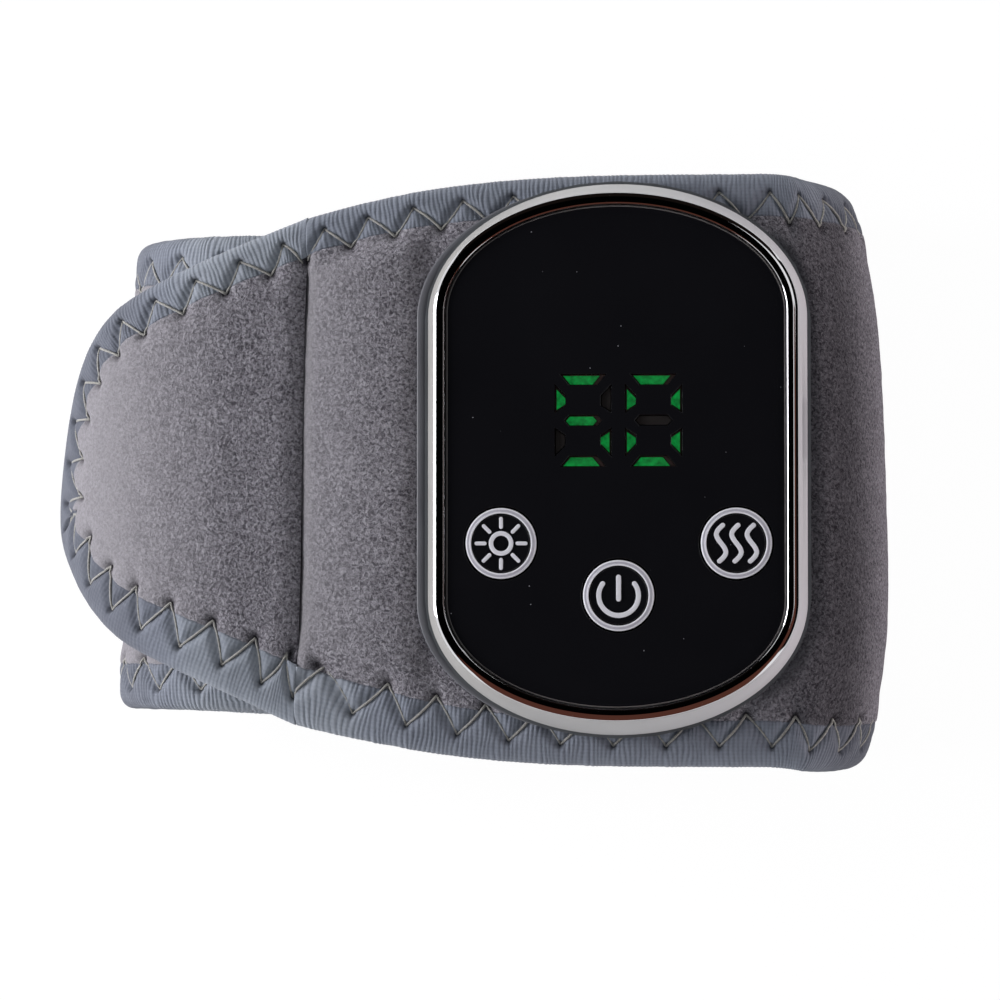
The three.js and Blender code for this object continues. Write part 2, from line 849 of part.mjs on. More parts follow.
// An outline drawn with its width along Y and its height along Z, pushed along X.
function barAlongX(shape, from, to, y, z, segments = cornerSides) {
  const options = { depth: to - from, bevelEnabled: false, curveSegments: segments };
  const geometry = new THREE.ExtrudeGeometry(shape, options);
  return geometry.rotateZ(Math.PI / 2).rotateY(Math.PI / 2).translate(from, y, z);
}

function box(width, length, height, x, y, bottom) {
  const geometry = new THREE.BoxGeometry(width, length, height);
  return geometry.translate(x, y, bottom + height / 2);
}

function socketOpening() {
  const wide = socketWidth + 2 * slotClearance;
  const high = socketHeight + 2 * slotClearance;
  const shape = roundedRectangle(wide, high, socketCorner + slotClearance);
  const from = unitHalfWidth - cavityInset - overrun;
  return solid(barAlongX(shape, from, unitHalfWidth + overrun, socketY, socketZ));
}

function ribbonSlot(bottom, top) {
  const wide = ribbonWidth + 2 * slotClearance;
  const deep = ribbonThickness + 2 * slotClearance;
  return solid(box(wide, deep, top - bottom, 0, ribbonY, bottom));
}

function backShell() {
  const flangeShape = pill(
    unitHalfWidth + frameFlareSide + flangeProud,
    unitStraightHalf,
    unitEndArc + frameFlareEnd + flangeProud,
  );
  const wallTop = shelfBottom - fit;
  const wall = pillRing([
    level(shellInset, floorTop - fit),
    level(shellInset, wallTop),
    level(cavityInset, wallTop),
    level(cavityInset, floorTop - fit),
  ]);
  let body = solid(prism(flangeShape, layerGap, floorTop))
    .add(solid(wall))
    .add(solid(prism(neck, neckBottom, layerGap + fit)));
  for (const { x, y } of boardPostPlaces) {
    body = body
      .add(solid(rod(postRadius, floorTop - fit, boardBottom - fit, x, y)))
      .subtract(solid(rod(screwShank + fit, floorTop + fit, boardBottom + overrun, x, y)));
  }
  for (const { x, y } of clampScrewPlaces) {
    const tip = clampBottom + clampScrewLength + fit;
    body = body.subtract(solid(rod(screwShank + fit, neckBottom - overrun, tip, x, y)));
  }
  body = body
    .subtract(ribbonSlot(neckBottom - overrun, floorTop + overrun))
    .subtract(socketOpening());
  return part("back_shell", body, darkPlastic);
}

function sideFrame() {
  const foot = floorTop + fit;
  const wallHeight = shelfTop - foot;
  const rimTop = lensTop - bezelRise;
  const flare = (share, z) => ({
    side: unitHalfWidth + frameLip + (frameFlareSide - frameLip) * share,
    end: unitEndArc + frameLip + (frameFlareEnd - frameLip) * share,
    z,
  });
  const nearFootShare = 0.96;
  const nearFootHeightShare = 0.2;
  const waistShare = 0.55;
  const waistHeightShare = 0.6;
  const brimShare = 0.12;
  const brimDropShare = 0.1;
  const ring = pillRing([
    baseLevel(foot),
    flare(nearFootShare, foot + nearFootHeightShare * wallHeight),
    flare(waistShare, foot + waistHeightShare * wallHeight),
    flare(brimShare, rimTop - brimDropShare * wallHeight),
    level(-frameLip, rimTop),
    level(-fit, rimTop),
    level(-fit, shelfTop),
    level(shelfInset, shelfTop),
    level(shelfInset, shelfBottom),
    level(wallInset, shelfBottom),
    level(wallInset, foot),
  ]);
  return part("side_frame", solid(ring).subtract(socketOpening()), greyPlastic);
}

function chromeBezel() {
  const top = lensTop + bezelRise;
  const bottom = shelfTop + fit;
  const edge = bezelRise;
  const roundShare = 1 / 3;
  const ring = pillRing([
    level(0, bottom),
    level(0, top - edge),
    level(roundShare * edge, top - roundShare * edge),
    level(edge, top),
    level(bezelWidth - edge, top),
    level(bezelWidth - roundShare * edge, top - roundShare * edge),
    level(bezelWidth, top - edge),
    level(bezelWidth, bottom),
  ]);
  return part("chrome_bezel", ring, chromePlate);
}

// The seven bars of a digit, as outlines round its centre.
function digitBars() {
  const x = digitWidth / 2;
  const y = digitHeight / 2;
  const w = barWidth;
  const g = barGap;
  const top = [[g - x, y], [x - g, y], [x - w - g, y - w], [w + g - x, y - w]];
  const upperRight = [[x, g], [x - w / 2, g], [x - w, w / 2 + g], [x - w, y - w - g], [x, y - g]];
  const middle = [
    [w / 2 + g - x, 0],
    [w + g - x, w / 2],
    [x - w - g, w / 2],
    [x - w / 2 - g, 0],
    [x - w - g, -w / 2],
    [w + g - x, -w / 2],
  ];
  const flipX = (bar) => bar.map(([px, py]) => [-px, py]).reverse();
  const flipY = (bar) => bar.map(([px, py]) => [px, -py]).reverse();
  const lowerRight = flipY(upperRight);
  return [top, upperRight, lowerRight, flipY(top), flipX(lowerRight), flipX(upperRight), middle];
}

const displayBars = [faceShift - digitPitch / 2, faceShift + digitPitch / 2].flatMap((x) =>
  digitBars().map((bar) => bar.map(([px, py]) => new THREE.Vector2(px + x, py + digitCentreY))),
);

// Moves each side of a clockwise outline inwards and meets its neighbours again.
function shrink(bar, inset) {
  const sides = bar.map((start, i) => {
    const end = bar[(i + 1) % bar.length];
    const along = end.clone().sub(start).normalize();
    const inward = new THREE.Vector2(along.y, -along.x).multiplyScalar(inset);
    return { start: start.clone().add(inward), along };
  });
  return sides.map((side, i) => {
    const before = sides[(i + sides.length - 1) % sides.length];
    const between = side.start.clone().sub(before.start);
    const reach = between.cross(side.along) / before.along.cross(side.along);
    return before.start.clone().addScaledVector(before.along, reach);
  });
}

const buttonPlaces = [
  { name: "heat", x: faceShift - sideButtonX, y: sideButtonY },
  { name: "power", x: faceShift, y: powerButtonY },
  { name: "massage", x: faceShift + sideButtonX, y: sideButtonY },
];

function displayLens() {
  let body = solid(prism(unitPill(lensInset), lensBottom, lensTop));
  const cuts = [
    ...displayBars.map((bar) =>
      prism(new THREE.Shape(bar), lensBottom - overrun, lensTop + overrun),
    ),
    ...buttonPlaces.map(({ x, y }) =>
      rod(capRadius + fit, lensBottom - overrun, lensTop + overrun, x, y, roundSides),
    ),
  ];
  for (const cut of cuts) body = body.subtract(solid(cut));
  return part("display_lens", body, blackGloss);
}

function lightGuide() {
  const wide = digitPitch + digitWidth + 2 * guideMargin;
  const long = digitHeight + 2 * guideMargin;
  const plate = box(wide, long, guideBaseThickness, faceShift, digitCentreY, onBoard);
  let body = solid(plate);
  for (const bar of displayBars) {
    const raised = prism(new THREE.Shape(shrink(bar, guideInset)), onBoard + fit, lensTop - guideRecess);
    body = body.add(solid(raised));
  }
  return part("light_guide", body, lightPipe);
}

function mainBoard() {
  const side = unitHalfWidth - cavityInset - boardMargin;
  const end = unitEndArc - cavityInset - boardMargin;
  const shape = new THREE.Shape();
  shape.moveTo(side, -unitStraightHalf);
  shape.lineTo(side, Math.min(boardTopEdgeY, unitStraightHalf));
  shape.lineTo(side - boardMargin, boardTopEdgeY);
  shape.lineTo(boardMargin - side, boardTopEdgeY);
  shape.lineTo(-side, Math.min(boardTopEdgeY, unitStraightHalf));
  shape.lineTo(-side, -unitStraightHalf);
  shape.absellipse(0, -unitStraightHalf, side, end, Math.PI, 2 * Math.PI);
  for (const { x, y } of boardPostPlaces) {
    const hole = new THREE.Path();
    hole.absarc(x, y, screwShank + fit, 0, 2 * Math.PI);
    shape.holes.push(hole);
  }
  return part("main_board", prism(shape, boardBottom, boardTop), boardGreen);
}

function controllerChip() {
  const body = box(chipSide, chipSide, chipHeight, chipX, chipY, onBoard);
  return part("controller_chip", body, blackNylon);
}

const batteryWidth = 2 * batteryHalfWidth;
const batteryLength = batteryTopY - batteryBottomY;
const batteryMiddleY = (batteryTopY + batteryBottomY) / 2;

function battery() {
  const flat = roundedRectangle(
    batteryWidth - 2 * batteryEdge,
    batteryLength - 2 * batteryEdge,
    batteryCorner,
  );
  const geometry = new THREE.ExtrudeGeometry(flat, {
    depth: batteryThickness - 2 * batteryEdge,
    bevelSize: batteryEdge,
    bevelThickness: batteryEdge,
    bevelSegments: 1,
    curveSegments: cornerSides,
  });
  geometry.translate(0, batteryMiddleY, batteryBottom + batteryEdge);
  return part("battery", geometry, cellFoil);
}

function batteryPad() {
  const wide = batteryWidth - 2 * batteryCorner;
  const long = batteryLength - 2 * batteryCorner;
  const body = box(wide, long, padThickness, 0, batteryMiddleY, padBottom);
  return part("battery_pad", body, foam);
}

function screw(name, bottom, length, x, y, headDown) {
  const head = headDown
    ? rod(screwHead, bottom, bottom + screwHeadHeight, x, y)
    : rod(screwHead, bottom + length, bottom + length + screwHeadHeight, x, y);
  const shank = headDown
    ? rod(screwShank, bottom + fit, bottom + length, x, y)
    : rod(screwShank, bottom, bottom + length + fit, x, y);
  return part(name, solid(head).add(solid(shank)), steel);
}

function clampPlate() {
  let body = solid(prism(clampPill(0), clampBottom, clampTop));
  for (const { x, y } of clampScrewPlaces) {
    const headRoom = clampBottom + screwHeadHeight + 2 * fit;
    body = body
      .subtract(solid(rod(screwShank + fit, clampBottom - overrun, clampTop + overrun, x, y)))
      .subtract(solid(rod(screwHead + fit, clampBottom - overrun, headRoom, x, y)));
  }
  body = body.subtract(ribbonSlot(clampBottom - overrun, clampTop + overrun));
  return part("clamp_plate", body, steel);
}

function heaterRibbon() {
  const bottom = filmTop + fit;
  const height = boardBottom - fit - bottom;
  const body = box(ribbonWidth, ribbonThickness, height, 0, ribbonY, bottom);
  return part("heater_ribbon", body, heaterFilm);
}

// A button: cap with a retaining flange, metal ring in its rim, and the switch plunger below it.
function button({ name, x, y }) {
  const seat = ringOuter - ringWidth - fit;
  const ringBottom = lensTop + ringProud - ringHeight;
  const capProfile = [
    [0, flangeBottom],
    [capRadius + capFlange, flangeBottom],
    [capRadius + capFlange, flangeTop],
    [capRadius, flangeTop],
    [capRadius, ringBottom - fit],
    [seat, ringBottom - fit],
    [seat, lensTop],
    [seat / 2, lensTop - capDish],
    [0, lensTop - capDish],
  ].map(([r, z]) => new THREE.Vector2(r, z));
  const ringProfile = [
    [ringOuter, ringBottom],
    [ringOuter, ringBottom + ringHeight],
    [ringOuter - ringWidth, ringBottom + ringHeight],
    [ringOuter - ringWidth, ringBottom],
    [ringOuter, ringBottom],
  ].map(([r, z]) => new THREE.Vector2(r, z));
  const turned = (profile) =>
    new THREE.LatheGeometry(profile, roundSides).rotateX(Math.PI / 2).translate(x, y, 0);
  const plungerTop = flangeBottom - fit;
  const plungerBottom = onBoard + switchHeight - plungerSeat + fit;
  const plunger = rod(plungerRadius, plungerBottom, plungerTop, x, y);
  const body = solid(box(switchSide, switchSide, switchHeight, x, y, onBoard));
  const bore = solid(
    rod(plungerRadius + fit, onBoard - overrun, onBoard + switchHeight + overrun, x, y),
  );
  return [
    part(`${name}_button`, turned(capProfile), blackGloss),
    part(`${name}_button_ring`, turned(ringProfile), silverInk),
    part(`${name}_switch_plunger`, plunger, blackNylon),
    part(`${name}_switch`, body.subtract(bore), steel),
  ];
}

// Motor pieces are turned about X and set across the unit.
function turnedAlongX(profile, sides = roundSides) {
  const points = profile.map(([r, x]) => new THREE.Vector2(r, x));
  const geometry = new THREE.LatheGeometry(points, sides).rotateZ(-Math.PI / 2);
  return geometry.translate(0, motorY, motorZ);
}

const tube = (outer, inner, from, to) => [
  [outer, from],
  [outer, to],
  [inner, to],
  [inner, from],
  [outer, from],
];

function motor() {
  const canFrom = motorCentreX - motorLength / 2;
  const canTo = motorCentreX + motorLength / 2;
  const bore = motorShaftRadius + fit;
  const shaftTo = canTo + motorShaftOverhang;
  const weightFrom = canTo + weightStandoff;
  const can = turnedAlongX(tube(motorRadius, bore, canFrom, canTo));
  const sleeveBore = motorRadius + fit;
  const sleeve = turnedAlongX(
    tube(
      sleeveBore + sleeveWall,
      sleeveBore,
      motorCentreX - sleeveLength / 2,
      motorCentreX + sleeveLength / 2,
    ),
  );
  const capTo = canFrom - fit;
  const endCap = turnedAlongX([
    [0, capTo - endCapThickness],
    [motorRadius - fit, capTo - endCapThickness],
    [motorRadius - fit, capTo],
    [0, capTo],
  ]);
  const shaft = turnedAlongX(
    [
      [0, canFrom],
      [motorShaftRadius, canFrom],
      [motorShaftRadius, shaftTo],
      [0, shaftTo],
    ],
    smallSides,
  );
  const lump = new THREE.Shape();
  lump.moveTo(weightRadius, 0);
  lump.lineTo(weightHub, 0);
  lump.absarc(0, 0, weightHub, 0, Math.PI);
  lump.lineTo(-weightRadius, 0);
  lump.absarc(0, 0, weightRadius, Math.PI, 2 * Math.PI);
  const hole = new THREE.Path();
  hole.absarc(0, 0, bore, 0, 2 * Math.PI);
  lump.holes.push(hole);
  const weight = barAlongX(lump, weightFrom, weightFrom + weightLength, motorY, motorZ, smallSides);
  return [
    part("motor_can", can, steel),
    part("motor_end_cap", endCap, blackNylon),
    part("motor_sleeve", sleeve, rubber),
    part("motor_shaft", shaft, steel),
    part("motor_weight", weight, steel),
  ];
}

function chargeSocket() {
  const from = socketOutX - socketLength;
  const shell = roundedRectangle(socketWidth, socketHeight, socketCorner);
  const innerWidth = socketWidth - 2 * socketWall;
  const innerHeight = socketHeight - 2 * socketWall;
  shell.holes.push(roundedRectangle(innerWidth, innerHeight, socketCorner - socketWall));
  const tongueTo = socketOutX - socketTongueSetback;
  const plate = box(
    tongueTo - from,
    socketTongueWidth,
    socketTongueThickness,
    (from + tongueTo) / 2,
    socketY,
    socketZ - socketTongueThickness / 2,
  );
  const block = roundedRectangle(
    innerWidth - 2 * fit,
    innerHeight - 2 * fit,
    socketCorner - socketWall - fit,
  );
  const back = barAlongX(block, from, from + socketBackLength, socketY, socketZ);
  return [
    part("charge_socket_shell", barAlongX(shell, from, socketOutX, socketY, socketZ), steel),
    part("charge_socket_tongue", solid(back).add(solid(plate)), blackNylon),
  ];
}

// The whole part

const wrap = new THREE.Group();
wrap.add(
  frontPanelCover(),
  frontPadding(),
  heatingFilm(),
  temperatureSensor(),
  frontPanelLining(),
  frontBinding("front_binding_upper", frontOutline.upper),
  frontBinding("front_binding_lower", [...frontOutline.lower].reverse()),
  closureStrapCover(),
  closureStrapBinding(),
  hookPatch(),
  rearBandCover(),
  rearBandLining(),
  rearBandBinding(),
);

const unit = new THREE.Group();
unit.position.z = loopHeight;
unit.add(
  backShell(),
  sideFrame(),
  chromeBezel(),
  displayLens(),
  lightGuide(),
  mainBoard(),
  controllerChip(),
  batteryPad(),
  battery(),
  clampPlate(),
  heaterRibbon(),
  ...clampScrewPlaces.map(({ x, y }, i) =>
    screw(`clamp_screw_${i + 1}`, clampBottom, clampScrewLength, x, y, true),
  ),
  ...boardPostPlaces.map(({ x, y }, i) =>
    screw(`board_screw_${i + 1}`, boardTop + fit - boardScrewLength, boardScrewLength, x, y, false),
  ),
  ...buttonPlaces.flatMap(button),
  ...motor(),
  ...chargeSocket(),
);

const massager = new THREE.Group();
massager.add(wrap, unit);

export default massager;
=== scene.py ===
# Heated wrist massager: a padded wrap, closed round the wrist, with a control unit on its front.
# Lengths are in millimetres, and MM turns them to metres where a mesh or a pattern is made.
import math
import bmesh
import bpy
import numpy as np
from mathutils import Matrix, Vector, kdtree, noise


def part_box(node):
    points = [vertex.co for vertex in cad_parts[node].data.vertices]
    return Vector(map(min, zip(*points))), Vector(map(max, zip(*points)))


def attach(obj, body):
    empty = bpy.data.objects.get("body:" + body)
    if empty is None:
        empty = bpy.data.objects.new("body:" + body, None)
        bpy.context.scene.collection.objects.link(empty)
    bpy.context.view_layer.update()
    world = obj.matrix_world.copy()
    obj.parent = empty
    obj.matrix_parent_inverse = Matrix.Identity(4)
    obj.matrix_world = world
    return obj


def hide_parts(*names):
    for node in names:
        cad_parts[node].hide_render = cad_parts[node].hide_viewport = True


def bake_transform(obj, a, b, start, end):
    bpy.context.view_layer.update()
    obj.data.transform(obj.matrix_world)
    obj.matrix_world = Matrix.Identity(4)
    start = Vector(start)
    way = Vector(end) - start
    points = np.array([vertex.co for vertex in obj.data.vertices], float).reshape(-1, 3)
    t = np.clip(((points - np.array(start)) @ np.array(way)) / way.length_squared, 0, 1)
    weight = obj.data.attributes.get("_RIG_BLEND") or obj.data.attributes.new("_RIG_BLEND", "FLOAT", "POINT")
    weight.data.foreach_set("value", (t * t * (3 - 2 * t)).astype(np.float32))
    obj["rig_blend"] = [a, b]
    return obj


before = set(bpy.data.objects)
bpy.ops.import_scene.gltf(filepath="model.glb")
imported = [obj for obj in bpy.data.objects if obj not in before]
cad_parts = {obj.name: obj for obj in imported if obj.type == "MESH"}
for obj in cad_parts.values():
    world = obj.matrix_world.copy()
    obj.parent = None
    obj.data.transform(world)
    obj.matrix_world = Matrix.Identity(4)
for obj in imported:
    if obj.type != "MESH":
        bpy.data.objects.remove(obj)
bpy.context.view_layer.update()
MM = 0.001

# Wrap cover
# The outside of the wrap is one long piece of brushed loop-pile knit, laminated to thin foam. It is level
# under the control unit, rolls round the plain bend, lies flat on the table and rolls up again on the left,
# where its inner end runs under the front panel. The pile stands half a millimetre high, brushed left.
loop_top, band_top, strap_top = 44.0, 37.5, 42.3
seam_x, level_from_x, right_bend_x, left_bend_x, inner_end_x = -44.0, -30.0, 26.0, -54.0, -28.0
right_reach, left_reach = 12.55, 18.9
panel_thickness, band_thickness, strap_thickness, seam_thickness = 6.2, 4.0, 3.5, 4.5
wrap_middle, front_half, band_half = -1.35, 41.75, 34.05
seam_narrowing, full_width_at, narrowing_power = 5.75, 53.0, 2.75
band_corner = 14.0
crown, crown_power, crown_from_x, crown_run = 4.5, 3.5, 20.0, 14.0
lean_share, left_lean_share, left_lean_from_x, left_lean_run = 0.03, 0.037, -48.0, 12.0
low_corner_from, low_corner_in, low_corner_down = -22.0, 0.5, 0.85
high_corner_from, high_corner_down, corner_run = 26.0, 0.6, 16.0
seam_bow_y = (-33, -26, -15, 8, 16, 26)
seam_bow = (1.75, 1.2, 0.87, 0.8, 0.55, 0.1)
seam_bow_run = 8.0
tape_width, tape_sink, cloth_inset = 6.5, 0.5, 1.0
cut_x = 2.0
straight_stops, roll_stops, least_step = 80, 300, 1e-9


def smooth(value):
    held = np.clip(value, 0.0, 1.0)
    return held * held * (3 - 2 * held)


def straight(x0, z0, x1, z1):
    share = np.linspace(0, 1, straight_stops)
    return np.column_stack([x0 + (x1 - x0) * share, z0 + (z1 - z0) * share])


def roll(x, z, reach_x, reach_z, start, end):
    turn = np.radians(np.linspace(start, end, roll_stops))
    return np.column_stack([x + reach_x * np.cos(turn), z + reach_z * np.sin(turn)])


class Line:
    """A smooth line of points, read by the distance along it. Its left side points out of the wrap."""

    def __init__(self, *stretches):
        points = np.vstack(stretches)
        steps = np.hypot(*np.diff(points, axis=0).T)
        self.points = points[np.r_[True, steps > least_step]]
        self.run = np.r_[0, np.cumsum(steps[steps > least_step])]
        self.length = self.run[-1]
        along = np.gradient(self.points, self.run, axis=0)
        self.along = along / np.linalg.norm(along, axis=1)[:, None]

    def at(self, run):
        places = [np.interp(run, self.run, column) for column in self.points.T]
        along = [np.interp(run, self.run, column) for column in self.along.T]
        return np.column_stack(places), np.column_stack(along)


top_stretch = [
    straight(seam_x, strap_top, level_from_x, loop_top),
    straight(level_from_x, loop_top, right_bend_x, loop_top),
    roll(right_bend_x, loop_top / 2, right_reach, loop_top / 2, 90, 0),
]
right_foot = roll(right_bend_x, loop_top / 2, right_reach, loop_top / 2, 0, -90)
loop = Line(
    *top_stretch,
    right_foot,
    straight(right_bend_x, 0, left_bend_x, 0),
    roll(left_bend_x, band_top / 2, left_reach, band_top / 2, 270, 90),
    straight(left_bend_x, band_top, inner_end_x, band_top),
)
front_length = Line(*top_stretch).length
bend_starts = front_length - Line(top_stretch[-1]).length
cut_at = front_length + Line(right_foot).length + right_bend_x - cut_x
taper_ends = loop.length - front_length - (inner_end_x - left_bend_x) - band_corner


def thickness(s):
    seam = np.clip(1 - s / (level_from_x - seam_x), 0, 1)
    bend = np.clip((s - bend_starts) / (front_length - bend_starts), 0, 1)
    less_at_seam = (panel_thickness - seam_thickness) * seam
    less_at_bend = (panel_thickness - band_thickness) * bend
    return panel_thickness - less_at_seam - less_at_bend


def half_width(s):
    front = front_half - seam_narrowing * np.clip(1 - s / full_width_at, 0, 1) ** narrowing_power
    rear = front_half + (band_half - front_half) * smooth((s - front_length) / taper_ends)
    into_corner = np.clip(s - (loop.length - band_corner), 0, band_corner)
    corner = band_corner - np.sqrt(band_corner**2 - into_corner**2)
    return np.where(s < front_length, front, rear) - corner


def seam_shift(x, y):
    """How far the seam, which isn't quite straight, pulls a place to the left."""
    return np.interp(y, seam_bow_y, seam_bow) * np.exp(-(((x - seam_x) / seam_bow_run) ** 2))


def on_loop(s, y, n):
    """Places in space for distances s from the seam, y along the arm and n out of the wrap's face."""
    place, along = loop.at(s)
    x = place[:, 0] - along[:, 1] * n
    z = place[:, 1] + along[:, 0] * n
    across = y - wrap_middle
    right = smooth((x - crown_from_x) / crown_run)
    left = smooth((left_lean_from_x - x) / left_lean_run)
    low = right * smooth((low_corner_from - across) / corner_run)
    high = right * smooth((across - high_corner_from) / corner_run)
    bulge = crown * np.abs(across / front_half) ** crown_power + lean_share * across
    x = x + left * left_lean_share * across - right * bulge - low_corner_in * low
    x = x - seam_shift(x, y) * (z > band_top)
    return np.column_stack([x, y - low_corner_down * low - high_corner_down * high, z])


seam_reach, edge_step = 7.0, 0.2


class Edge(Line):
    """The outer edge of a stretch laid flat. It finds how far along the edge a place is and how far in from
    it. Near the seam the way in turns until it is parallel to the seam. wide lists runs along the edge and
    how wide the tape is there against its common width, and the way in is counted in that measure."""

    def __init__(self, points, wide, seam_at_start=False, seam_at_end=False):
        self.wide = wide
        rough = Line(points)
        super().__init__(rough.at(np.linspace(0, rough.length, int(rough.length / edge_step)))[0])
        self.tree = kdtree.KDTree(len(self.points))
        for i, (s, y) in enumerate(self.points):
            self.tree.insert((s, y, 0), i)
        self.tree.balance()
        self.seam_runs = [0.0] * seam_at_start + [self.length] * seam_at_end

    def turned(self, run):
        """How far the way in has turned towards the seam: 1 at the seam and 0 beyond its reach."""
        share = np.zeros_like(run)
        for seam_run in self.seam_runs:
            share = np.maximum(share, 1 - smooth(np.abs(run - seam_run) / seam_reach))
        return share

    def nearest(self, flat):
        found = np.array([self.tree.find((s, y, 0))[1] for s, y in flat])
        away = flat - self.points[found]
        along = self.along[found]
        run = self.run[found] + np.einsum("ij,ij->i", away, along)
        inside = away[:, 0] * along[:, 1] - away[:, 1] * along[:, 0]
        share = self.turned(run)
        steep = np.where(share > 0, -along[:, 1] / np.where(share > 0, along[:, 0], 1), 0)
        run = run - share * inside * steep
        return run, inside / np.interp(run, *self.wide)

    def out_from(self, run, out):
        place, along = self.at(run)
        share = self.turned(run)
        held = np.where(share > 0, along[:, 0], 1)
        way_s = -along[:, 1] * (1 - share)
        way_y = along[:, 0] + share * (1 / held - along[:, 0]) * (share > 0)
        out = np.asarray(out) * np.interp(run, *self.wide)
        return place + np.column_stack([way_s, way_y]) * out[:, None]


def edge_of(s, side):
    return np.column_stack([s, wrap_middle + side * half_width(s)])


front_stops, rear_stops, corner_stops = 700, 400, 60
corner_from = loop.length - band_corner
front_s = np.linspace(0, cut_at, front_stops)
rear_s = np.r_[np.linspace(cut_at, corner_from, rear_stops)[:-1],
               corner_from + band_corner * np.sin(np.linspace(0, math.pi / 2, corner_stops))]
upper_wide = ((0, 10, 20, 40, 60, front_length), (0.79, 0.79, 0.82, 0.9, 0.94, 1.0))
lower_wide = ((cut_at - 35, cut_at - 21, cut_at - 14, cut_at - 7, cut_at), (1.0, 1.07, 1.12, 1.19, 1.22))
rear_wide = ((0, 1), (1.0, 1.0))
upper_edge = Edge(edge_of(front_s, 1), upper_wide, seam_at_start=True)
lower_edge = Edge(edge_of(front_s[::-1], -1), lower_wide, seam_at_end=True)
rear_edge = Edge(np.vstack([edge_of(rear_s, 1), edge_of(rear_s[::-1], -1)]), rear_wide)

# The zigzag seam's needle points lie near the outer edge of the tape, then past its inner edge, in turns.
zigzag_pitch, needle_outer, needle_inner = 7.3, 2.9, 7.4
gather_run, turn_stops = 5.5, 6000
thread_margin, far_away = 0.3, 1e3
leg_slope = math.hypot(zigzag_pitch / 2, needle_inner - needle_outer)
leg_across = zigzag_pitch / 2 / leg_slope


class Zigzag:
    """A zigzag seam along an edge, with an outer needle point at first and then at each pitch. Near the
    start of the edge its stitches may be gathered closer."""

    def __init__(self, edge, first, pitch=zigzag_pitch, gather=0.0):
        self.edge, self.pitch = edge, pitch
        self.runs = np.linspace(0, edge.length, turn_stops)
        self.counted = (self.runs - gather * np.exp(-self.runs / gather_run) - first) / pitch

    def turns(self, run):
        return np.interp(run, self.runs, self.counted)

    def run_at(self, turns):
        return np.interp(turns, self.counted, self.runs)

    def swing(self, run):
        """How far out the seam is at this run: 1 at an outer needle point and 0 at an inner one."""
        turns = self.turns(run)
        return np.abs(2 * (turns - np.floor(turns)) - 1)

    def to_needle(self, turns, inside, needle):
        return np.hypot((turns - np.round(turns)) * self.pitch, inside - needle)

    def to_outer(self, run, inside):
        return self.to_needle(self.turns(run), inside, needle_outer)

    def to_inner(self, run, inside):
        return self.to_needle(self.turns(run) - 0.5, inside, needle_inner)

    def to_thread(self, run, inside):
        seam = needle_inner + (needle_outer - needle_inner) * self.swing(run)
        between = (inside > needle_outer - thread_margin) & (inside < needle_inner + thread_margin)
        return np.where(between, np.abs(inside - seam) * leg_across, far_away)


def dent(distance, reach, depth):
    return depth * np.exp(-((distance / reach) ** 2))


lower_first, lower_pitch = 6.65, 7.45
upper_seam = Zigzag(upper_edge, first=0.5, gather=2.9)
lower_seam = Zigzag(lower_edge, (lower_edge.length - lower_first) % lower_pitch, lower_pitch)
rear_seam = Zigzag(rear_edge, first=2.0)


def skin(name, rows, columns, shape, closed_rows=False):
    """A grid rolled up across its columns into a closed skin. shape takes each corner's row and column, and
    gives its place in millimetres and its attributes."""
    bm = bmesh.new()
    bmesh.ops.create_grid(bm, x_segments=rows, y_segments=columns, size=1)
    grid = np.array([v.co[:2] for v in bm.verts])
    row = np.rint((grid[:, 0] + 1) / 2 * rows).astype(int)
    column = np.rint((grid[:, 1] + 1) / 2 * columns).astype(int)
    places, attributes = shape(row % rows if closed_rows else row, column % columns)
    layers = [(bm.verts.layers.float_vector if values.ndim == 2 else bm.verts.layers.float).new(key)
              for key, values in attributes.items()]
    for i, (vert, place) in enumerate(zip(bm.verts, places * MM)):
        vert.co = place
        for layer, values in zip(layers, attributes.values()):
            vert[layer] = values[i]
    bmesh.ops.remove_doubles(bm, verts=bm.verts[:], dist=1e-8)
    open_edges = [edge for edge in bm.edges if edge.is_boundary]
    if open_edges:
        bmesh.ops.holes_fill(bm, edges=open_edges, sides=0)
    bmesh.ops.recalc_face_normals(bm, faces=bm.faces[:])
    return finished(bm, name)


def finished(bm, name, smooth_faces=True):
    for face in bm.faces:
        face.smooth = smooth_faces
    mesh = bpy.data.meshes.new(name)
    bm.to_mesh(mesh)
    bm.free()
    made = bpy.data.objects.new(name, mesh)
    bpy.context.scene.collection.objects.link(made)
    return made


lump_height, lump_size, lump_level = 0.09, 2.6, 0.8
small_lump_scale, small_lump_share, small_lump_layer = 2.3, 0.5, 7


def lumps(s, y):
    """Soft unevenness from about -0.5 to 0.5, by flat place."""
    u, v = s / lump_size, y / lump_size
    large = [noise.noise((a, b, 0)) for a, b in zip(u, v)]
    u, v = u * small_lump_scale, v * small_lump_scale
    small = [noise.noise((a, b, small_lump_layer)) for a, b in zip(u, v)]
    return (np.array(large) + small_lump_share * np.array(small)) * lump_level


# Painted light on the pile: faces that look left, towards the lamp, are painted paler and smoother.
painted_light_full_slope, painted_light_power, facing_sample, painted_light_under_slope, painted_light_under = 38.0, 0.85, 1.2, 100, 0.3
# Painted shade on the pile: faces turned away from the lamp, and the cloth right of the unit, in its shadow,
# are painted darker; the steep wall of the bend keeps less of it.
shade_full_slope, shade_ends_slope, shade_end_run = 40.0, 55, 25
right_shade, right_shade_from, right_shade_run = 1.76, 16.0, 16.0
wall_share, wall_slope, wall_slope_run = 0.8, 50, 30


def facing(lay, length, s, y, top):
    """How many degrees a face looks to the left, and -90 for a face that looks right."""
    before, after = (np.clip(s + step, 0, length) for step in (-facing_sample, facing_sample))
    rise = lay(after, y, top(after)) - lay(before, y, top(before))
    return np.degrees(np.arctan2(rise[:, 2], rise[:, 0]))


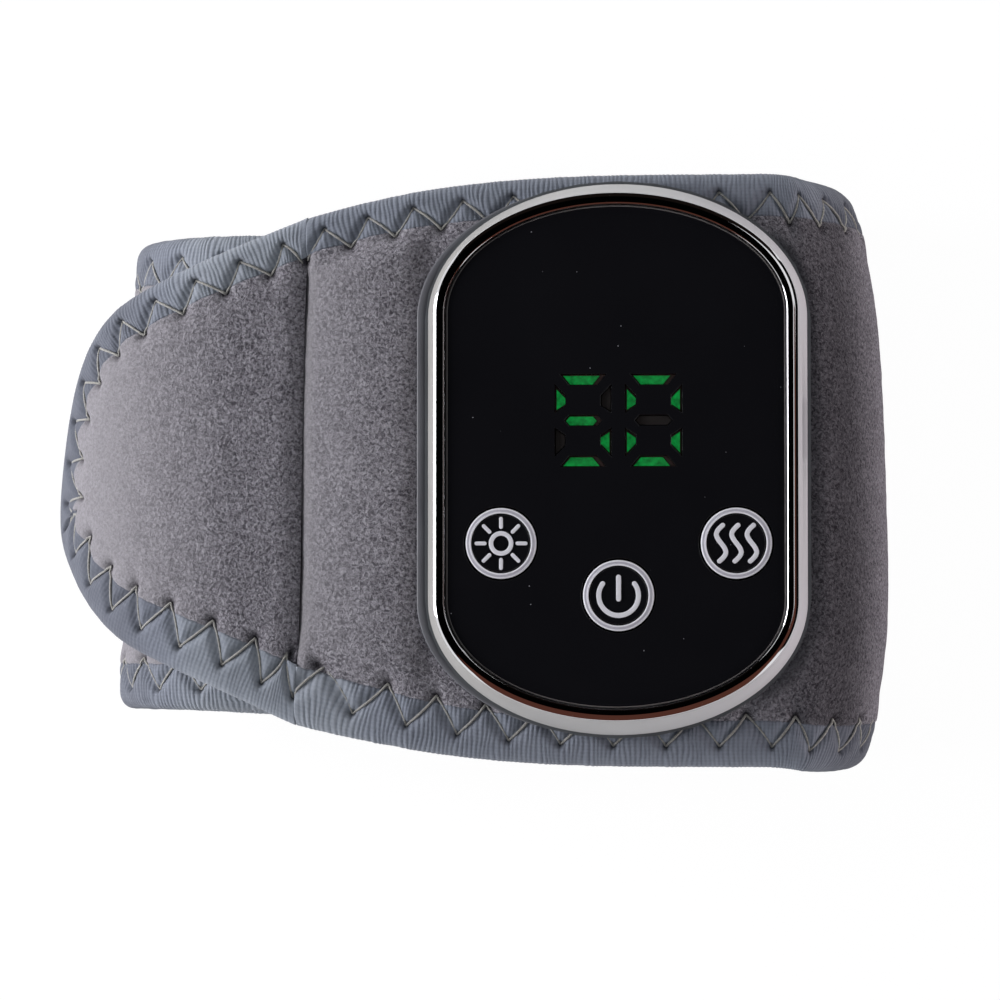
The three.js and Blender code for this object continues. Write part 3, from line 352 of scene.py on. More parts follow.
side_columns, least_half = 8, 0.2
pile_opens, pile_open_run = 0.5, 2
hole_reach, hole_depth, thread_reach, thread_depth = 1.1, 0.7, 0.6, 0.2
# The needle holes are painted dark: the hole itself, with painted shade in the pulled-in pit round it.
hole_shade_reach = 0.7


def cloth(name, lay, length, s_rows, half, middle, seams, top, bottom, across, lump=0.0):
    """One layer of the wrap over a stretch. top and bottom give its faces from the place and the way in."""

    def shape(row, column):
        s = s_rows[row]
        share = np.where(column <= across, column / across, 1 - (column - across - 1) / (side_columns - 2))
        width = np.maximum(half(s) - cloth_inset, least_half)
        y = middle(s) + (2 * share - 1) * width
        flat = np.column_stack([s, y])
        found = [seam.edge.nearest(flat) for seam in seams]
        insides = np.array([way_in for run, way_in in found])
        swings = np.array([seam.swing(run) for seam, (run, way_in) in zip(seams, found)])
        inside = insides.min(axis=0)
        swing = np.take_along_axis(swings, insides.argmin(axis=0)[None, :], axis=0)[0]
        hole = np.min([seam.to_inner(*place) for seam, place in zip(seams, found)], axis=0)
        thread = np.min([seam.to_thread(*place) for seam, place in zip(seams, found)], axis=0)
        open_pile = smooth((inside - tape_width - pile_opens) / pile_open_run)
        pulled = top(s, y, inside, swing) - dent(hole, hole_reach, hole_depth)
        n_top = pulled - dent(thread, thread_reach, thread_depth) + lump * lumps(s, y) * open_pile
        n = np.where(column <= across, n_top, bottom(s, y, inside))
        slope = facing(lay, length, s, y, lambda other: top(other, y, inside, swing))
        # nap grows as a face turns left, towards the lamp; faces turned under keep a little of it.
        under = np.where(slope > painted_light_under_slope, painted_light_under, 1)
        nap = np.clip(slope / painted_light_full_slope, 0, 1) ** painted_light_power * under
        places = lay(s, y, n)
        # shade: painted shade on faces turned away from the lamp, and painted shadow of the unit on the
        # cloth to its right.
        steep = smooth((-slope - shade_ends_slope) / shade_end_run)
        away = np.clip(-slope / shade_full_slope, 0, 1) * (1 - steep)
        right = right_shade * smooth((places[:, 0] - right_shade_from) / right_shade_run)
        wall = smooth((-slope - wall_slope) / wall_slope_run)
        away = np.maximum(away, right * (1 - wall_share * wall))
        return places, {"flat": np.column_stack([s, y, n]) * MM, "nap": nap, "shade": away,
                        "hole": dent(hole, hole_shade_reach, 1.0)}

    return skin(name, len(s_rows) - 1, across + side_columns, shape)


edge_rise_run = 8
lip_start, lip_rise, lip_swell, lip_height = -0.9, 0.45, 0.9, 0.45
lip_rise_from, lip_rise_run, lip_swell_from, lip_swell_run = -2.4, 1.7, -0.7, 1.4
hem_from, hem_run = 5.9, 3.2


def wrap_edge_top(s):
    into_bend = (s - bend_starts) / (front_length - bend_starts)
    return tape_sink * smooth(s / edge_rise_run) * (1 - smooth(into_bend))


def lip(past_tape):
    """The cloth lies under the tape, then swells up past the tape's inner edge."""
    rise = lip_rise * smooth((past_tape - lip_rise_from) / lip_rise_run)
    swell = lip_swell * smooth((past_tape - lip_swell_from) / lip_swell_run)
    return lip_start + rise + swell


def past_hem(inside):
    return smooth((inside - hem_from) / hem_run)


frame_side, frame_end, frame_straight = 26.6, 18.9, 19.7
puff_height, puff_from, puff_rise, puff_level_to, puff_fall = 0.75, 0.1, 2.4, 3, 10
puff_left_x, puff_left_run, puff_bend_run = -22, 14, 16
front_scallop = 0.35
fold_drop, fold_run, slope_arch, arch_run = 0.6, 1.3, 1.6, 17.5
fold_from, fold_open_run, rise_from, rise_run = -1.5, 2, 0.2, 5
hem_drop, seam_hem_drop, seam_hem_run = 0.1, 0.6, 2


def past_frame(x, y):
    """How far a place on the front lies outside the control unit's foot."""
    past_straight = np.maximum(np.abs(y) - frame_straight, 0)
    level = np.hypot(x / frame_side, past_straight / frame_end)
    return np.where(past_straight > 0, (level - 1) * (frame_side + frame_end) / 2, np.abs(x) - frame_side)


def cover_top(s, y, inside, swing):
    tape_top = -wrap_edge_top(s)
    past_tape = inside - tape_width + front_scallop * swing
    x = loop.at(s)[0][:, 0]
    past = past_frame(x, y)
    on_front = 1 - smooth((s - bend_starts) / puff_bend_run)
    puff = puff_height * smooth((past - puff_from) / puff_rise)
    puff = puff * (1 - smooth((past - puff_level_to) / puff_fall))
    puff = puff * smooth((x - puff_left_x) / puff_left_run)
    seam_share = np.clip(s / arch_run, 0, 1)
    arch = slope_arch * 4 * seam_share * (1 - seam_share)
    level = on_front * puff + arch
    fold = fold_drop * (1 - np.clip(s / fold_run, 0, 1)) ** 2
    risen = (level - tape_top - lip_height) * smooth((past_tape - rise_from) / rise_run)
    return tape_top + lip(past_tape) + risen - fold * smooth((past_tape - fold_from) / fold_open_run)


def cover_bottom(s, y, inside):
    at_seam = seam_hem_drop * (1 - smooth(s / seam_hem_run))
    return -thickness(s) / 2 - hem_drop * (1 - past_hem(inside)) - at_seam


def loop_middle(s):
    return np.full_like(s, wrap_middle)


def stops(from_s, to_s, spacing):
    return np.linspace(from_s, to_s, max(2, int((to_s - from_s) / spacing)))


pile_spacing, loose_spacing, shown_run, corner_rows = 0.37, 0.8, 24.0, 24
fold_rows, fold_rows_end = (0, 0.08, 0.18, 0.3, 0.44, 0.6, 0.78), 1.0
shown_to = bend_starts + shown_run
front_rows = np.r_[fold_rows, stops(fold_rows_end, shown_to, pile_spacing),
                   stops(shown_to, cut_at, loose_spacing)[1:]]
round_rows = (band_corner - cloth_inset) * np.sin(np.linspace(0, math.pi / 2, corner_rows))
rear_rows = np.r_[stops(cut_at, corner_from, loose_spacing)[:-1], corner_from + round_rows]
front_cover = cloth("front_panel_pile", on_loop, loop.length, front_rows, half_width, loop_middle,
                    [upper_seam, lower_seam], cover_top, cover_bottom, across=214, lump=lump_height)
rear_cover = cloth("rear_band_pile", on_loop, loop.length, rear_rows, half_width, loop_middle, [rear_seam],
                   cover_top, cover_bottom, across=120, lump=lump_height)
pile_tips, pile_roots, lit_tips, lit_roots = "#b4b1b7", "#4b484e", "#989699", "#807e81"


def linear(code):
    """An sRGB hex colour as linear red, green, blue and alpha."""
    parts = [int(code[i:i + 2], 16) / 255 for i in (1, 3, 5)]
    return [p / 12.92 if p <= 0.04045 else ((p + 0.055) / 1.055) ** 2.4 for p in parts] + [1.0]


def add(tree, kind, inputs=None, **settings):
    """Adds a node. An input is a value or the output that it links to."""
    made = tree.nodes.new("ShaderNode" + kind)
    for key, value in settings.items():
        setattr(made, key, value)
    for key, value in (inputs or {}).items():
        if isinstance(value, bpy.types.NodeSocket):
            tree.links.new(value, made.inputs[key])
        else:
            made.inputs[key].default_value = value
    return made


def surface(name, inputs):
    """A material from one Principled shader. inputs takes the node tree and gives the shader's inputs."""
    made = bpy.data.materials.new(name)
    made.use_nodes = True
    tree = made.node_tree
    tree.nodes.clear()
    shader = add(tree, "BsdfPrincipled", inputs(tree))
    add(tree, "OutputMaterial", {"Surface": shader.outputs[0]})
    return made


def brushed_knit(tree):
    """Polyester loop pile: dark gaps between tufts, partly painted shade, with painted light and shade by
    facing.
    """
    flat = add(tree, "Attribute", attribute_name="flat").outputs["Vector"]
    # nap: painted light on faces turned to the lamp on the left.
    nap = add(tree, "Attribute", attribute_name="nap").outputs["Fac"]
    shade = add(tree, "Attribute", attribute_name="shade").outputs["Fac"]
    hole = add(tree, "Attribute", attribute_name="hole").outputs["Fac"]
    fine = add(tree, "TexNoise", {"Vector": flat, "Scale": 1 / (0.42 * MM), "Detail": 2.0, "Roughness": 0.6,
                                  "Distortion": 0.7})
    patch = add(tree, "TexNoise", {"Vector": flat, "Scale": 1 / (4.0 * MM), "Detail": 2.0})
    speck = add(tree, "MapRange", {"Value": fine.outputs["Fac"], "From Min": 0.34, "From Max": 0.68})
    mottled = add(tree, "Math", {0: patch.outputs["Fac"], 1: 0.3, 2: speck.outputs["Result"]},
                  operation="MULTIPLY_ADD").outputs[0]
    level = add(tree, "MapRange", {"Value": mottled, "From Min": 0.1, "From Max": 1.2}).outputs["Result"]
    # The dark roots between the tufts are partly painted shade.
    plain = add(tree, "Mix", {"Factor": level, "A": linear(pile_roots), "B": linear(pile_tips)},
                data_type="RGBA")
    # lit is a paler, smoother copy of the pile's tones, used as painted light.
    lit = add(tree, "Mix", {"Factor": level, "A": linear(lit_roots), "B": linear(lit_tips)},
              data_type="RGBA")
    tone = add(tree, "Mix", {"Factor": nap, "A": plain.outputs["Result"], "B": lit.outputs["Result"]},
               data_type="RGBA")
    # Painted shade: faces turned away and the cloth in the unit's shadow are mixed towards near black.
    share = add(tree, "Math", {0: shade, 1: 0.42}, operation="MULTIPLY").outputs[0]
    painted_shade_mix = add(tree, "Mix", {"Factor": share, "A": tone.outputs["Result"], "B": linear("#19161a")},
                      data_type="RGBA")
    # Darker at the needle holes: the hole itself, with painted shade in its pit.
    pulled = add(tree, "Mix", {"Factor": hole, "A": painted_shade_mix.outputs["Result"], "B": linear("#2a272b")},
                 data_type="RGBA")
    strength = add(tree, "MapRange", {"Value": nap, "To Min": 0.85, "To Max": 0.3}).outputs["Result"]
    bump = add(tree, "Bump", {"Height": speck.outputs["Result"], "Strength": strength, "Distance": 0.2 * MM})
    return {"Base Color": pulled.outputs["Result"], "Roughness": 0.95, "Specular IOR Level": 0.12,
            "Sheen Weight": 0.25, "Sheen Roughness": 0.4, "Sheen Tint": linear("#b9b5bc"),
            "Normal": bump.outputs[0]}


pile_knit = surface("brushed_pile_knit", brushed_knit)


def dress(piece, material, slot, *nodes):
    piece.data.materials.append(material)
    if nodes:
        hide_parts(*nodes)


bend_blend_top, bend_blend_foot = 31, 13
bend_blend = {"start": (0, 0, bend_blend_top * MM), "end": (0, 0, bend_blend_foot * MM)}
for piece, node in ((front_cover, "front_panel_cover"), (rear_cover, "rear_band_cover")):
    dress(piece, pile_knit, "pile_cloth", node)
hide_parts("rear_band_cover")
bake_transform(front_cover, "root", "rear_band", **bend_blend)
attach(rear_cover, "rear_band")

# Closure strap
# The strap is cut from the same knit on stiffer foam. It is sewn to the front panel in a fold, lies over the
# left bend and curls down round it to a rounded end.
strap_level, curl_radius, curl_turn, tip_run = 10.0, 30.0, 62.0, 8.0
tip_half, tip_length, tip_drop, tip_drop_power = 16.2, 22.9, 5.85, 3.2
curl_x, curl_z = seam_x - strap_level, strap_top - curl_radius
curl_rad = math.radians(curl_turn)
curl_end = (curl_x - curl_radius * math.sin(curl_rad), curl_z + curl_radius * math.cos(curl_rad))
tip = (curl_end[0] - tip_run * math.cos(curl_rad), curl_end[1] - tip_run * math.sin(curl_rad))
strap_line = Line(
    straight(*tip, *curl_end),
    roll(curl_x, curl_z, curl_radius, curl_radius, 90 + curl_turn, 90),
    straight(curl_x, strap_top, seam_x, strap_top),
)


def on_strap(s, y, n):
    place, along = strap_line.at(s)
    x = place[:, 0] - along[:, 1] * n
    return np.column_stack([x - seam_shift(x, y), y, place[:, 1] + along[:, 0] * n])


def strap_middle(s):
    left = 1 - np.clip(s / tip_length, 0, 1)
    return wrap_middle - tip_drop * left**tip_drop_power


def strap_half(s):
    left = 1 - np.clip(s / tip_length, 0, 1)
    widening = (half_width(np.zeros(1))[0] - tip_half) / strap_line.length
    return (tip_half + widening * s) * np.sqrt(1 - left**2)


tip_stops, strap_stops = 160, 200
strap_s = np.r_[tip_length * (1 - np.cos(np.linspace(0, math.pi / 2, tip_stops))),
                np.linspace(tip_length, strap_line.length, strap_stops)[1:]]
strap_low = np.column_stack([strap_s[::-1], (strap_middle(strap_s) - strap_half(strap_s))[::-1]])
strap_high = np.column_stack([strap_s, strap_middle(strap_s) + strap_half(strap_s)])
strap_wide = ((0, 40, 52, 60, 67, 76, 88, 115), (1.22, 1.18, 1.4, 1.65, 1.5, 1.15, 0.92, 0.79))
strap_edge = Edge(np.vstack([strap_low, strap_high[1:]]), strap_wide, seam_at_start=True, seam_at_end=True)
strap_first, strap_last, strap_pitch = 0.3, 4.3, 7.1
stitched_run = strap_edge.length - strap_first - strap_last
strap_seam = Zigzag(strap_edge, strap_first, stitched_run / round(stitched_run / strap_pitch))
strap_puff, strap_scallop, scallop_run = 0.75, 1.3, 30.0
seam_dip, seam_dip_run, seam_dip_power = 0.75, 3.8, 2.2
strap_foam_gap, strap_hem_rise = 0.3, 0.5


def strap_cover_top(s, y, inside, swing):
    scallop = front_scallop + (strap_scallop - front_scallop) * (1 - smooth(s / scallop_run))
    past_tape = inside - tape_width + scallop * swing
    dip = seam_dip * np.clip(1 - (strap_line.length - s) / seam_dip_run, 0, 1) ** seam_dip_power
    risen = (strap_puff - lip_height) * smooth((past_tape - rise_from) / rise_run)
    return lip(past_tape) + risen - dip * smooth((past_tape - fold_from) / fold_open_run)


def strap_cover_bottom(s, y, inside):
    return -strap_thickness + strap_foam_gap + strap_hem_rise * (1 - past_hem(inside))


tip_turns = np.linspace(0, math.pi / 2, 74)
strap_rows = np.r_[cloth_inset + (tip_length - cloth_inset) * (1 - np.cos(tip_turns)),
                   stops(tip_length, strap_line.length, pile_spacing)[1:]]
strap_cover = cloth("closure_strap_pile", on_strap, strap_line.length, strap_rows, strap_half, strap_middle,
                    [strap_seam], strap_cover_top, strap_cover_bottom, across=190, lump=lump_height)
dress(strap_cover, pile_knit, "pile_cloth", "closure_strap_cover")
seam_blend_start, seam_blend_end = seam_x + 0.5, seam_x - 7
seam_blend = {"start": (seam_blend_start * MM, 0, 0), "end": (seam_blend_end * MM, 0, 0)}
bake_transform(strap_cover, "root", "closure_strap", **seam_blend)

# Wrap lining
# The side that touches the wrist is a smooth short-pile knit over the heating film, thinner than the cover.
# Like the cover it is cut to the wrap's outline and caught under the edge tape.
lining_tone, lining_dark = "#5f5c62", "#3a383c"
lining_inset, lining_hem, lining_gap, lining_spacing = 0.75, 0.3, 0.25, 1.1
# A wave texture draws its bands about twice as far apart as the length that its scale is worked out from.
wave_turn, half_wale = 6.28, 0.55


def lining_top(s, y, inside):
    return -thickness(s) / 2 - lining_hem * past_hem(inside) - lining_gap


def lining_bottom(s, y, inside, swing):
    tape_foot = lining_inset + wrap_edge_top(s)
    return -thickness(s) + wrap_edge_top(s) + lining_inset - tape_foot * past_hem(inside)


front_lining = cloth("front_panel_lining_knit", on_loop, loop.length, stops(0, cut_at, lining_spacing),
                     half_width, loop_middle, [upper_seam, lower_seam], lining_bottom, lining_top, across=64)
rear_lining = cloth("rear_band_lining_knit", on_loop, loop.length, rear_rows, half_width, loop_middle,
                    [rear_seam], lining_bottom, lining_top, across=60)


def short_knit(tree):
    """Warp-knitted polyester: fine wales along the wrap with a soft, even face."""
    flat = add(tree, "Attribute", attribute_name="flat").outputs["Vector"]
    wales = add(tree, "TexWave", {"Vector": flat, "Scale": 1 / (wave_turn * half_wale * MM),
                                  "Distortion": 1.5, "Detail Scale": 2.0}, bands_direction="Y")
    fuzz = add(tree, "TexNoise", {"Vector": flat, "Scale": 1 / (0.7 * MM), "Detail": 3.0})
    level = add(tree, "Math", {0: wales.outputs["Fac"], 1: 0.35, 2: fuzz.outputs["Fac"]},
                operation="MULTIPLY_ADD").outputs[0]
    tone = add(tree, "Mix", {"Factor": level, "A": linear(lining_dark), "B": linear(lining_tone)},
               data_type="RGBA")
    bump = add(tree, "Bump", {"Height": level, "Strength": 0.5, "Distance": 0.2 * MM})
    return {"Base Color": tone.outputs["Result"], "Roughness": 0.9, "Specular IOR Level": 0.2,
            "Sheen Weight": 0.4, "Sheen Roughness": 0.45, "Normal": bump.outputs[0]}


lining_knit = surface("short_pile_lining", short_knit)
dress(front_lining, lining_knit, "lining_cloth", "front_panel_lining")
dress(rear_lining, lining_knit, "lining_cloth", "rear_band_lining")
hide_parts("rear_band_lining")
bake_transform(front_lining, "root", "rear_band", **bend_blend)
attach(rear_lining, "rear_band")

# Binding tape
# Every raw edge is covered by a woven rib tape, folded over it and sewn through. The ribs are cords of weft
# that run across the tape, so its folded edge is finely toothed.
tape_cloth, fold_reach = 0.55, 1.9
rib_pitch, rib_height, rib_roundness, rows_per_rib = 0.66, 0.085, 0.8, 4
least_rib, rib_from_slope, rib_slope_run, smooth_side_share = 0.12, 0.45, 0.45, 0.5
wobble_run, wobble_across, wobble_layer, wobble_shift, wobble_height = 2.2, 4.0, 3, 0.5, 0.9
flat_columns, fold_columns, under_columns, inner_columns = 14, 9, 8, 10
inner_pull, inner_pull_share = 0.22, 2.2
tape_puff, tape_puff_from, tape_puff_run, thread_puff_run = 0.4, 1.2, 6.5, 1.7
outer_hole_reach, outer_hole_depth, inner_hole_reach, inner_hole_depth = 0.6, 0.5, 1.2, 0.4
# Painted shade round the tape's outer needle holes, with the holes themselves.
tape_hole_shade_reach = 0.42
flat_measure, fold_measure = 4.6, 6.0
# Painted light on the tape: a paler copy of its tones between lit_tape_from and lit_tape_to on the left,
# reaching further right along the lower edge.
lit_tape_from, lit_tape_to, lit_tape_lean, lit_tape_lean_y, lit_tape_run = -66.0, -49.5, 0.13, 35, 7.0
# Painted shade on the tape: darker towards its right end and at the strap's far left end.
tape_shade_right_x, tape_shade_right_run, tape_shade_left_x, tape_shade_left_run, tape_shade_left = 24, 10, -64, 8, 0.65
tape_light, tape_dark = "#858b95", "#646974"
lit_tape_light, lit_tape_dark, tape_shade_tone = "#9aa0a8", "#798089", "#33333c"


def tape(name, lay, seam, top, depth):
    """Tape folded over an edge, from one end of the edge to the other."""
    edge = seam.edge
    rows = int(edge.length / rib_pitch) * rows_per_rib
    shown = flat_columns + 2 * fold_columns + under_columns

    def shape(row, column):
        run = edge.length * row / rows
        outside = column <= shown
        inner = np.clip((column - shown - 1) / (inner_columns - 2), 0, 1)
        way = np.where(outside, column, shown * (1 - inner))
        flat_share = np.clip(way / flat_columns, 0, 1)
        fold_share = np.clip((way - flat_columns) / (2 * fold_columns), 0, 1)
        under_share = np.clip((way - flat_columns - 2 * fold_columns) / under_columns, 0, 1)
        turn = math.pi * fold_share
        wall = np.where(outside, 0, tape_cloth)
        centre, along = edge.at(run)
        deep = depth(centre[:, 0])
        out = -tape_width + (tape_width - fold_reach) * flat_share + (fold_reach - wall) * np.sin(turn)
        out = out - (tape_width - fold_reach) * under_share
        n = top(centre[:, 0]) - deep / 2 + (deep / 2 - wall) * np.cos(turn)
        inside = -out
        near_inner = np.clip(1 - flat_share * inner_pull_share, 0, 1) * (fold_share <= 0)
        out = out - near_inner * inner_pull * (1 - seam.swing(run))
        hole = seam.to_outer(run, inside)
        pulled = seam.to_inner(run, inside)
        thread = seam.to_thread(run, inside)
        on_top = outside & (fold_share < 0.5)
        rounded = np.sin(np.pi * np.clip((inside - tape_puff_from) / tape_puff_run, 0, 1))
        puff = tape_puff * np.clip(rounded, 0, 1) * smooth(thread / thread_puff_run)
        puff = puff - dent(thread, thread_reach, thread_depth)
        puff = puff - dent(hole, outer_hole_reach, outer_hole_depth)
        puff = puff - dent(pulled, inner_hole_reach, inner_hole_depth)
        puff = np.where(on_top, puff, 0)
        wobble = np.array([noise.noise((r / wobble_run, i / wobble_across, wobble_layer))
                           for r, i in zip(run, inside)])
        ribbed = smooth((np.abs(along[:, 0]) - rib_from_slope) / rib_slope_run)
        ribbed = least_rib + (1 - least_rib) * ribbed
        ribbed = ribbed * np.where((along[:, 0] < 0) & (lay is on_strap), smooth_side_share, 1)
        phase = (run + wobble_shift * wobble) / rib_pitch
        crest = np.abs(np.sin(np.pi * phase)) ** rib_roundness
        # The tape is smooth where it goes into the seam.
        crest = np.maximum(crest, smooth(12 * edge.turned(run) - 11))
        rib = crest * rib_height * (1 + wobble_height * wobble) * ribbed
        lift = np.where(outside, rib + puff, 0)
        n = n + lift * np.cos(turn)
        place = edge.out_from(run, out + lift * np.sin(turn))
        around = flat_share * flat_measure + fold_share * fold_measure + under_share * flat_measure
        places = lay(place[:, 0], place[:, 1], n)
        x, y = places[:, 0], places[:, 1]
        # pale: painted light, a paler copy of the tape's tones on the left.
        not_right = 1 - smooth((x - lit_tape_to - lit_tape_lean * (lit_tape_lean_y - y)) / lit_tape_run)
        # dim: painted shade at both ends of the tape.
        left_end_shade = tape_shade_left * smooth((tape_shade_left_x - x) / tape_shade_left_run)
        return places, {
            "flat": np.column_stack([run, around, wall]) * MM,
            "pale": smooth((x - lit_tape_from) / lit_tape_run) * not_right,
            "dim": np.maximum(smooth((x - tape_shade_right_x) / tape_shade_right_run), left_end_shade),
            "rib": np.where(outside, crest, 0.5),
            "ribbed": ribbed,
            "hole": np.where(on_top, dent(hole, tape_hole_shade_reach, 1.0), 0),
        }

    return skin(name, rows, shown + inner_columns, shape)


def front_tape_top(s):
    return -wrap_edge_top(s)


def front_tape_depth(s):
    return thickness(s) - 2 * wrap_edge_top(s)


def strap_tape_top(s):
    return 0 * s


def strap_tape_depth(s):
    return strap_thickness + 0 * s


def rib_weave(tree):
    """Spun polyester rib: pale rounded cords, dark lines between them, partly painted shade, and a fine warp
    crossing over.
    """
    flat = add(tree, "Attribute", attribute_name="flat").outputs["Vector"]
    rib, ribbed, hole, pale, dim = (add(tree, "Attribute", attribute_name=name).outputs["Fac"]
                                    for name in ("rib", "ribbed", "hole", "pale", "dim"))
    warp = add(tree, "TexWave", {"Vector": flat, "Scale": 1 / (wave_turn * 0.26 * MM), "Distortion": 3.0,
                                 "Detail": 2.0, "Detail Scale": 3.0}, bands_direction="Y")
    yarn = add(tree, "TexNoise", {"Vector": flat, "Scale": 1 / (0.4 * MM), "Detail": 3.0})
    patch = add(tree, "TexNoise", {"Vector": flat, "Scale": 1 / (2.6 * MM), "Detail": 2.0})
    # The cords are paler at their crests and darker between them, partly painted shade.
    level = add(tree, "Math", {0: rib, 1: ribbed}, operation="MULTIPLY").outputs[0]
    for pattern, share in ((warp, 0.25), (yarn, 0.6)):
        level = add(tree, "Math", {0: pattern.outputs["Fac"], 1: share, 2: level},
                    operation="MULTIPLY_ADD").outputs[0]
    strength = add(tree, "MapRange", {"Value": ribbed, "To Min": 0.15, "To Max": 0.5}).outputs["Result"]
    bump = add(tree, "Bump", {"Height": level, "Strength": strength, "Distance": 0.12 * MM})
    level = add(tree, "Math", {0: patch.outputs["Fac"], 1: 1.1, 2: level},
                operation="MULTIPLY_ADD").outputs[0]
    level = add(tree, "MapRange", {"Value": level, "From Min": 0.55, "From Max": 2.1}).outputs["Result"]
    plain = add(tree, "Mix", {"Factor": level, "A": linear(tape_dark), "B": linear(tape_light)},
                data_type="RGBA")
    # lit_tape_tone: the paler copy used as painted light.
    lit_tape_tone = add(tree, "Mix", {"Factor": level, "A": linear(lit_tape_dark), "B": linear(lit_tape_light)},
                data_type="RGBA")
    tone = add(tree, "Mix", {"Factor": pale, "A": plain.outputs["Result"], "B": lit_tape_tone.outputs["Result"]},
               data_type="RGBA")
    # Painted shade: the tape's ends are mixed towards dark grey.
    share = add(tree, "Math", {0: dim, 1: 0.6}, operation="MULTIPLY").outputs[0]
    tape_shaded = add(tree, "Mix", {"Factor": share, "A": tone.outputs["Result"], "B": linear(tape_shade_tone)},
                 data_type="RGBA")
    # Darker at the outer needle holes: the hole, with painted shade in its pit.
    shaded = add(tree, "Mix", {"Factor": hole, "A": tape_shaded.outputs["Result"], "B": linear("#1f2126")},
                 data_type="RGBA")
    return {"Base Color": shaded.outputs["Result"], "Roughness": 0.8, "Specular IOR Level": 0.2,
            "Sheen Weight": 0.15, "Sheen Roughness": 0.5, "Normal": bump.outputs[0]}


rib_tape = surface("ribbed_polyester_tape", rib_weave)
upper_tape = tape("front_tape_upper", on_loop, upper_seam, front_tape_top, front_tape_depth)
lower_tape = tape("front_tape_lower", on_loop, lower_seam, front_tape_top, front_tape_depth)
rear_tape = tape("rear_band_tape", on_loop, rear_seam, front_tape_top, front_tape_depth)
strap_tape = tape("closure_strap_tape", on_strap, strap_seam, strap_tape_top, strap_tape_depth)
dress(upper_tape, rib_tape, "binding_tape", "front_binding_upper", "rear_band_binding")
dress(lower_tape, rib_tape, "binding_tape", "front_binding_lower", "rear_band_binding")
dress(rear_tape, rib_tape, "binding_tape", "rear_band_binding")
dress(strap_tape, rib_tape, "binding_tape", "closure_strap_binding")
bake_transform(upper_tape, "root", "rear_band", **bend_blend)
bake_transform(lower_tape, "root", "rear_band", **bend_blend)
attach(rear_tape, "rear_band")
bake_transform(strap_tape, "root", "closure_strap", **seam_blend)

# Sewing thread
# A light spun thread holds the tape in a zigzag. Each stitch comes out of one needle hole, lies over the
# tape and goes down into the next, and pulls the cloth in where it ends.
thread_radius, sunk_radius_share, leg_points, leg_bow = 0.175, 0.85, 9, 0.25
leg_sink, leg_arch, sunk_leg_arch = 0.55, 0.7, 0.48
arch_stretch, arch_offset, arch_power = 1.1, 0.05, 0.5
over_edge_from, over_edge_run, most_over_tape = 0.9, 1.2, 0.3
tip_sink, tip_sink_run = 0.38, 16.0


def stitches(name, lay, seam, top, cloth_top):
    """The stitches of one seam. Legs that lie to the right of their outer needle point stand higher. The
    others, and all legs round the strap's end, where they are sunk, take a darker copy: painted shade."""
    curve = bpy.data.curves.new(name, "CURVE")
    curve.dimensions = "3D"
    curve.bevel_depth = thread_radius * MM
    curve.bevel_resolution = 1
    curve.use_fill_caps = True
    share = np.linspace(0, 1, leg_points)
    first, last = math.ceil(2 * seam.counted[0] - 0.6), math.floor(2 * seam.counted[-1] + 0.6)
    for k in range(first, last):
        inwards = k % 2 == 0
        run = seam.run_at((k + share) / 2)
        inside = needle_outer + (needle_inner - needle_outer) * (share if inwards else 1 - share)
        place = seam.edge.out_from(run, -inside)
        s, y = place[:, 0] + leg_bow * np.sin(math.pi * share), place[:, 1]
        raised = (s[-1] > s[0]) == inwards
        tape_n = top(s)
        over_edge = smooth((inside - tape_width + over_edge_from) / over_edge_run)
        pile_n = np.minimum(cloth_top(s, y, inside, seam.swing(run)), tape_n + most_over_tape)
        ground = tape_n * (1 - over_edge) + pile_n * over_edge
        arch = np.sin(math.pi * np.clip(share * arch_stretch - arch_offset, 0, 1)) ** arch_power
        sunk = tip_sink * (1 - smooth(s / tip_sink_run)) * (lay is on_strap)
        n = ground - leg_sink - sunk + arch * (leg_arch if raised else sunk_leg_arch)
        places = lay(s, y, n) * MM
        spline = curve.splines.new("POLY")
        spline.points.add(len(places) - 1)
        # The second material is a darker copy of the thread: painted shade on the lower and the sunk legs.
        spline.material_index = 0 if raised and np.max(sunk) < tip_sink / 3 else 1
        for point, where in zip(spline.points, places):
            point.co = (*where, 1)
            point.radius = 1.0 if raised else sunk_radius_share
    as_curve = bpy.data.objects.new(name + "_curve", curve)
    bpy.context.scene.collection.objects.link(as_curve)
    mesh = bpy.data.meshes.new_from_object(as_curve.evaluated_get(bpy.context.evaluated_depsgraph_get()))
    mesh.name = name
    bpy.data.objects.remove(as_curve)
    mesh.shade_smooth()
    made = bpy.data.objects.new(name, mesh)
    bpy.context.scene.collection.objects.link(made)
    made.data.materials.clear()
    made.data.materials.append(light_thread)
    made.data.materials.append(shaded_thread)
    return made


def spun_thread(light, dark):
    def inputs(tree):
        """Two-ply spun polyester: soft, with darker twist lines."""
        where = add(tree, "TexCoord").outputs["Object"]
        plies = add(tree, "TexNoise", {"Vector": where, "Scale": 1 / (0.3 * MM), "Detail": 2.0})
        level = add(tree, "MapRange", {"Value": plies.outputs["Fac"], "From Min": 0.35, "From Max": 0.65})
        mixed = add(tree, "Mix", {"Factor": level.outputs["Result"], "A": linear(dark), "B": linear(light)},
                    data_type="RGBA")
        bump = add(tree, "Bump", {"Height": plies.outputs["Fac"], "Strength": 0.5, "Distance": 0.08 * MM})
        return {"Base Color": mixed.outputs["Result"], "Roughness": 0.7, "Sheen Weight": 0.3,
                "Normal": bump.outputs[0]}
    return inputs


light_thread = surface("spun_thread", spun_thread("#a8a7a0", "#888780"))
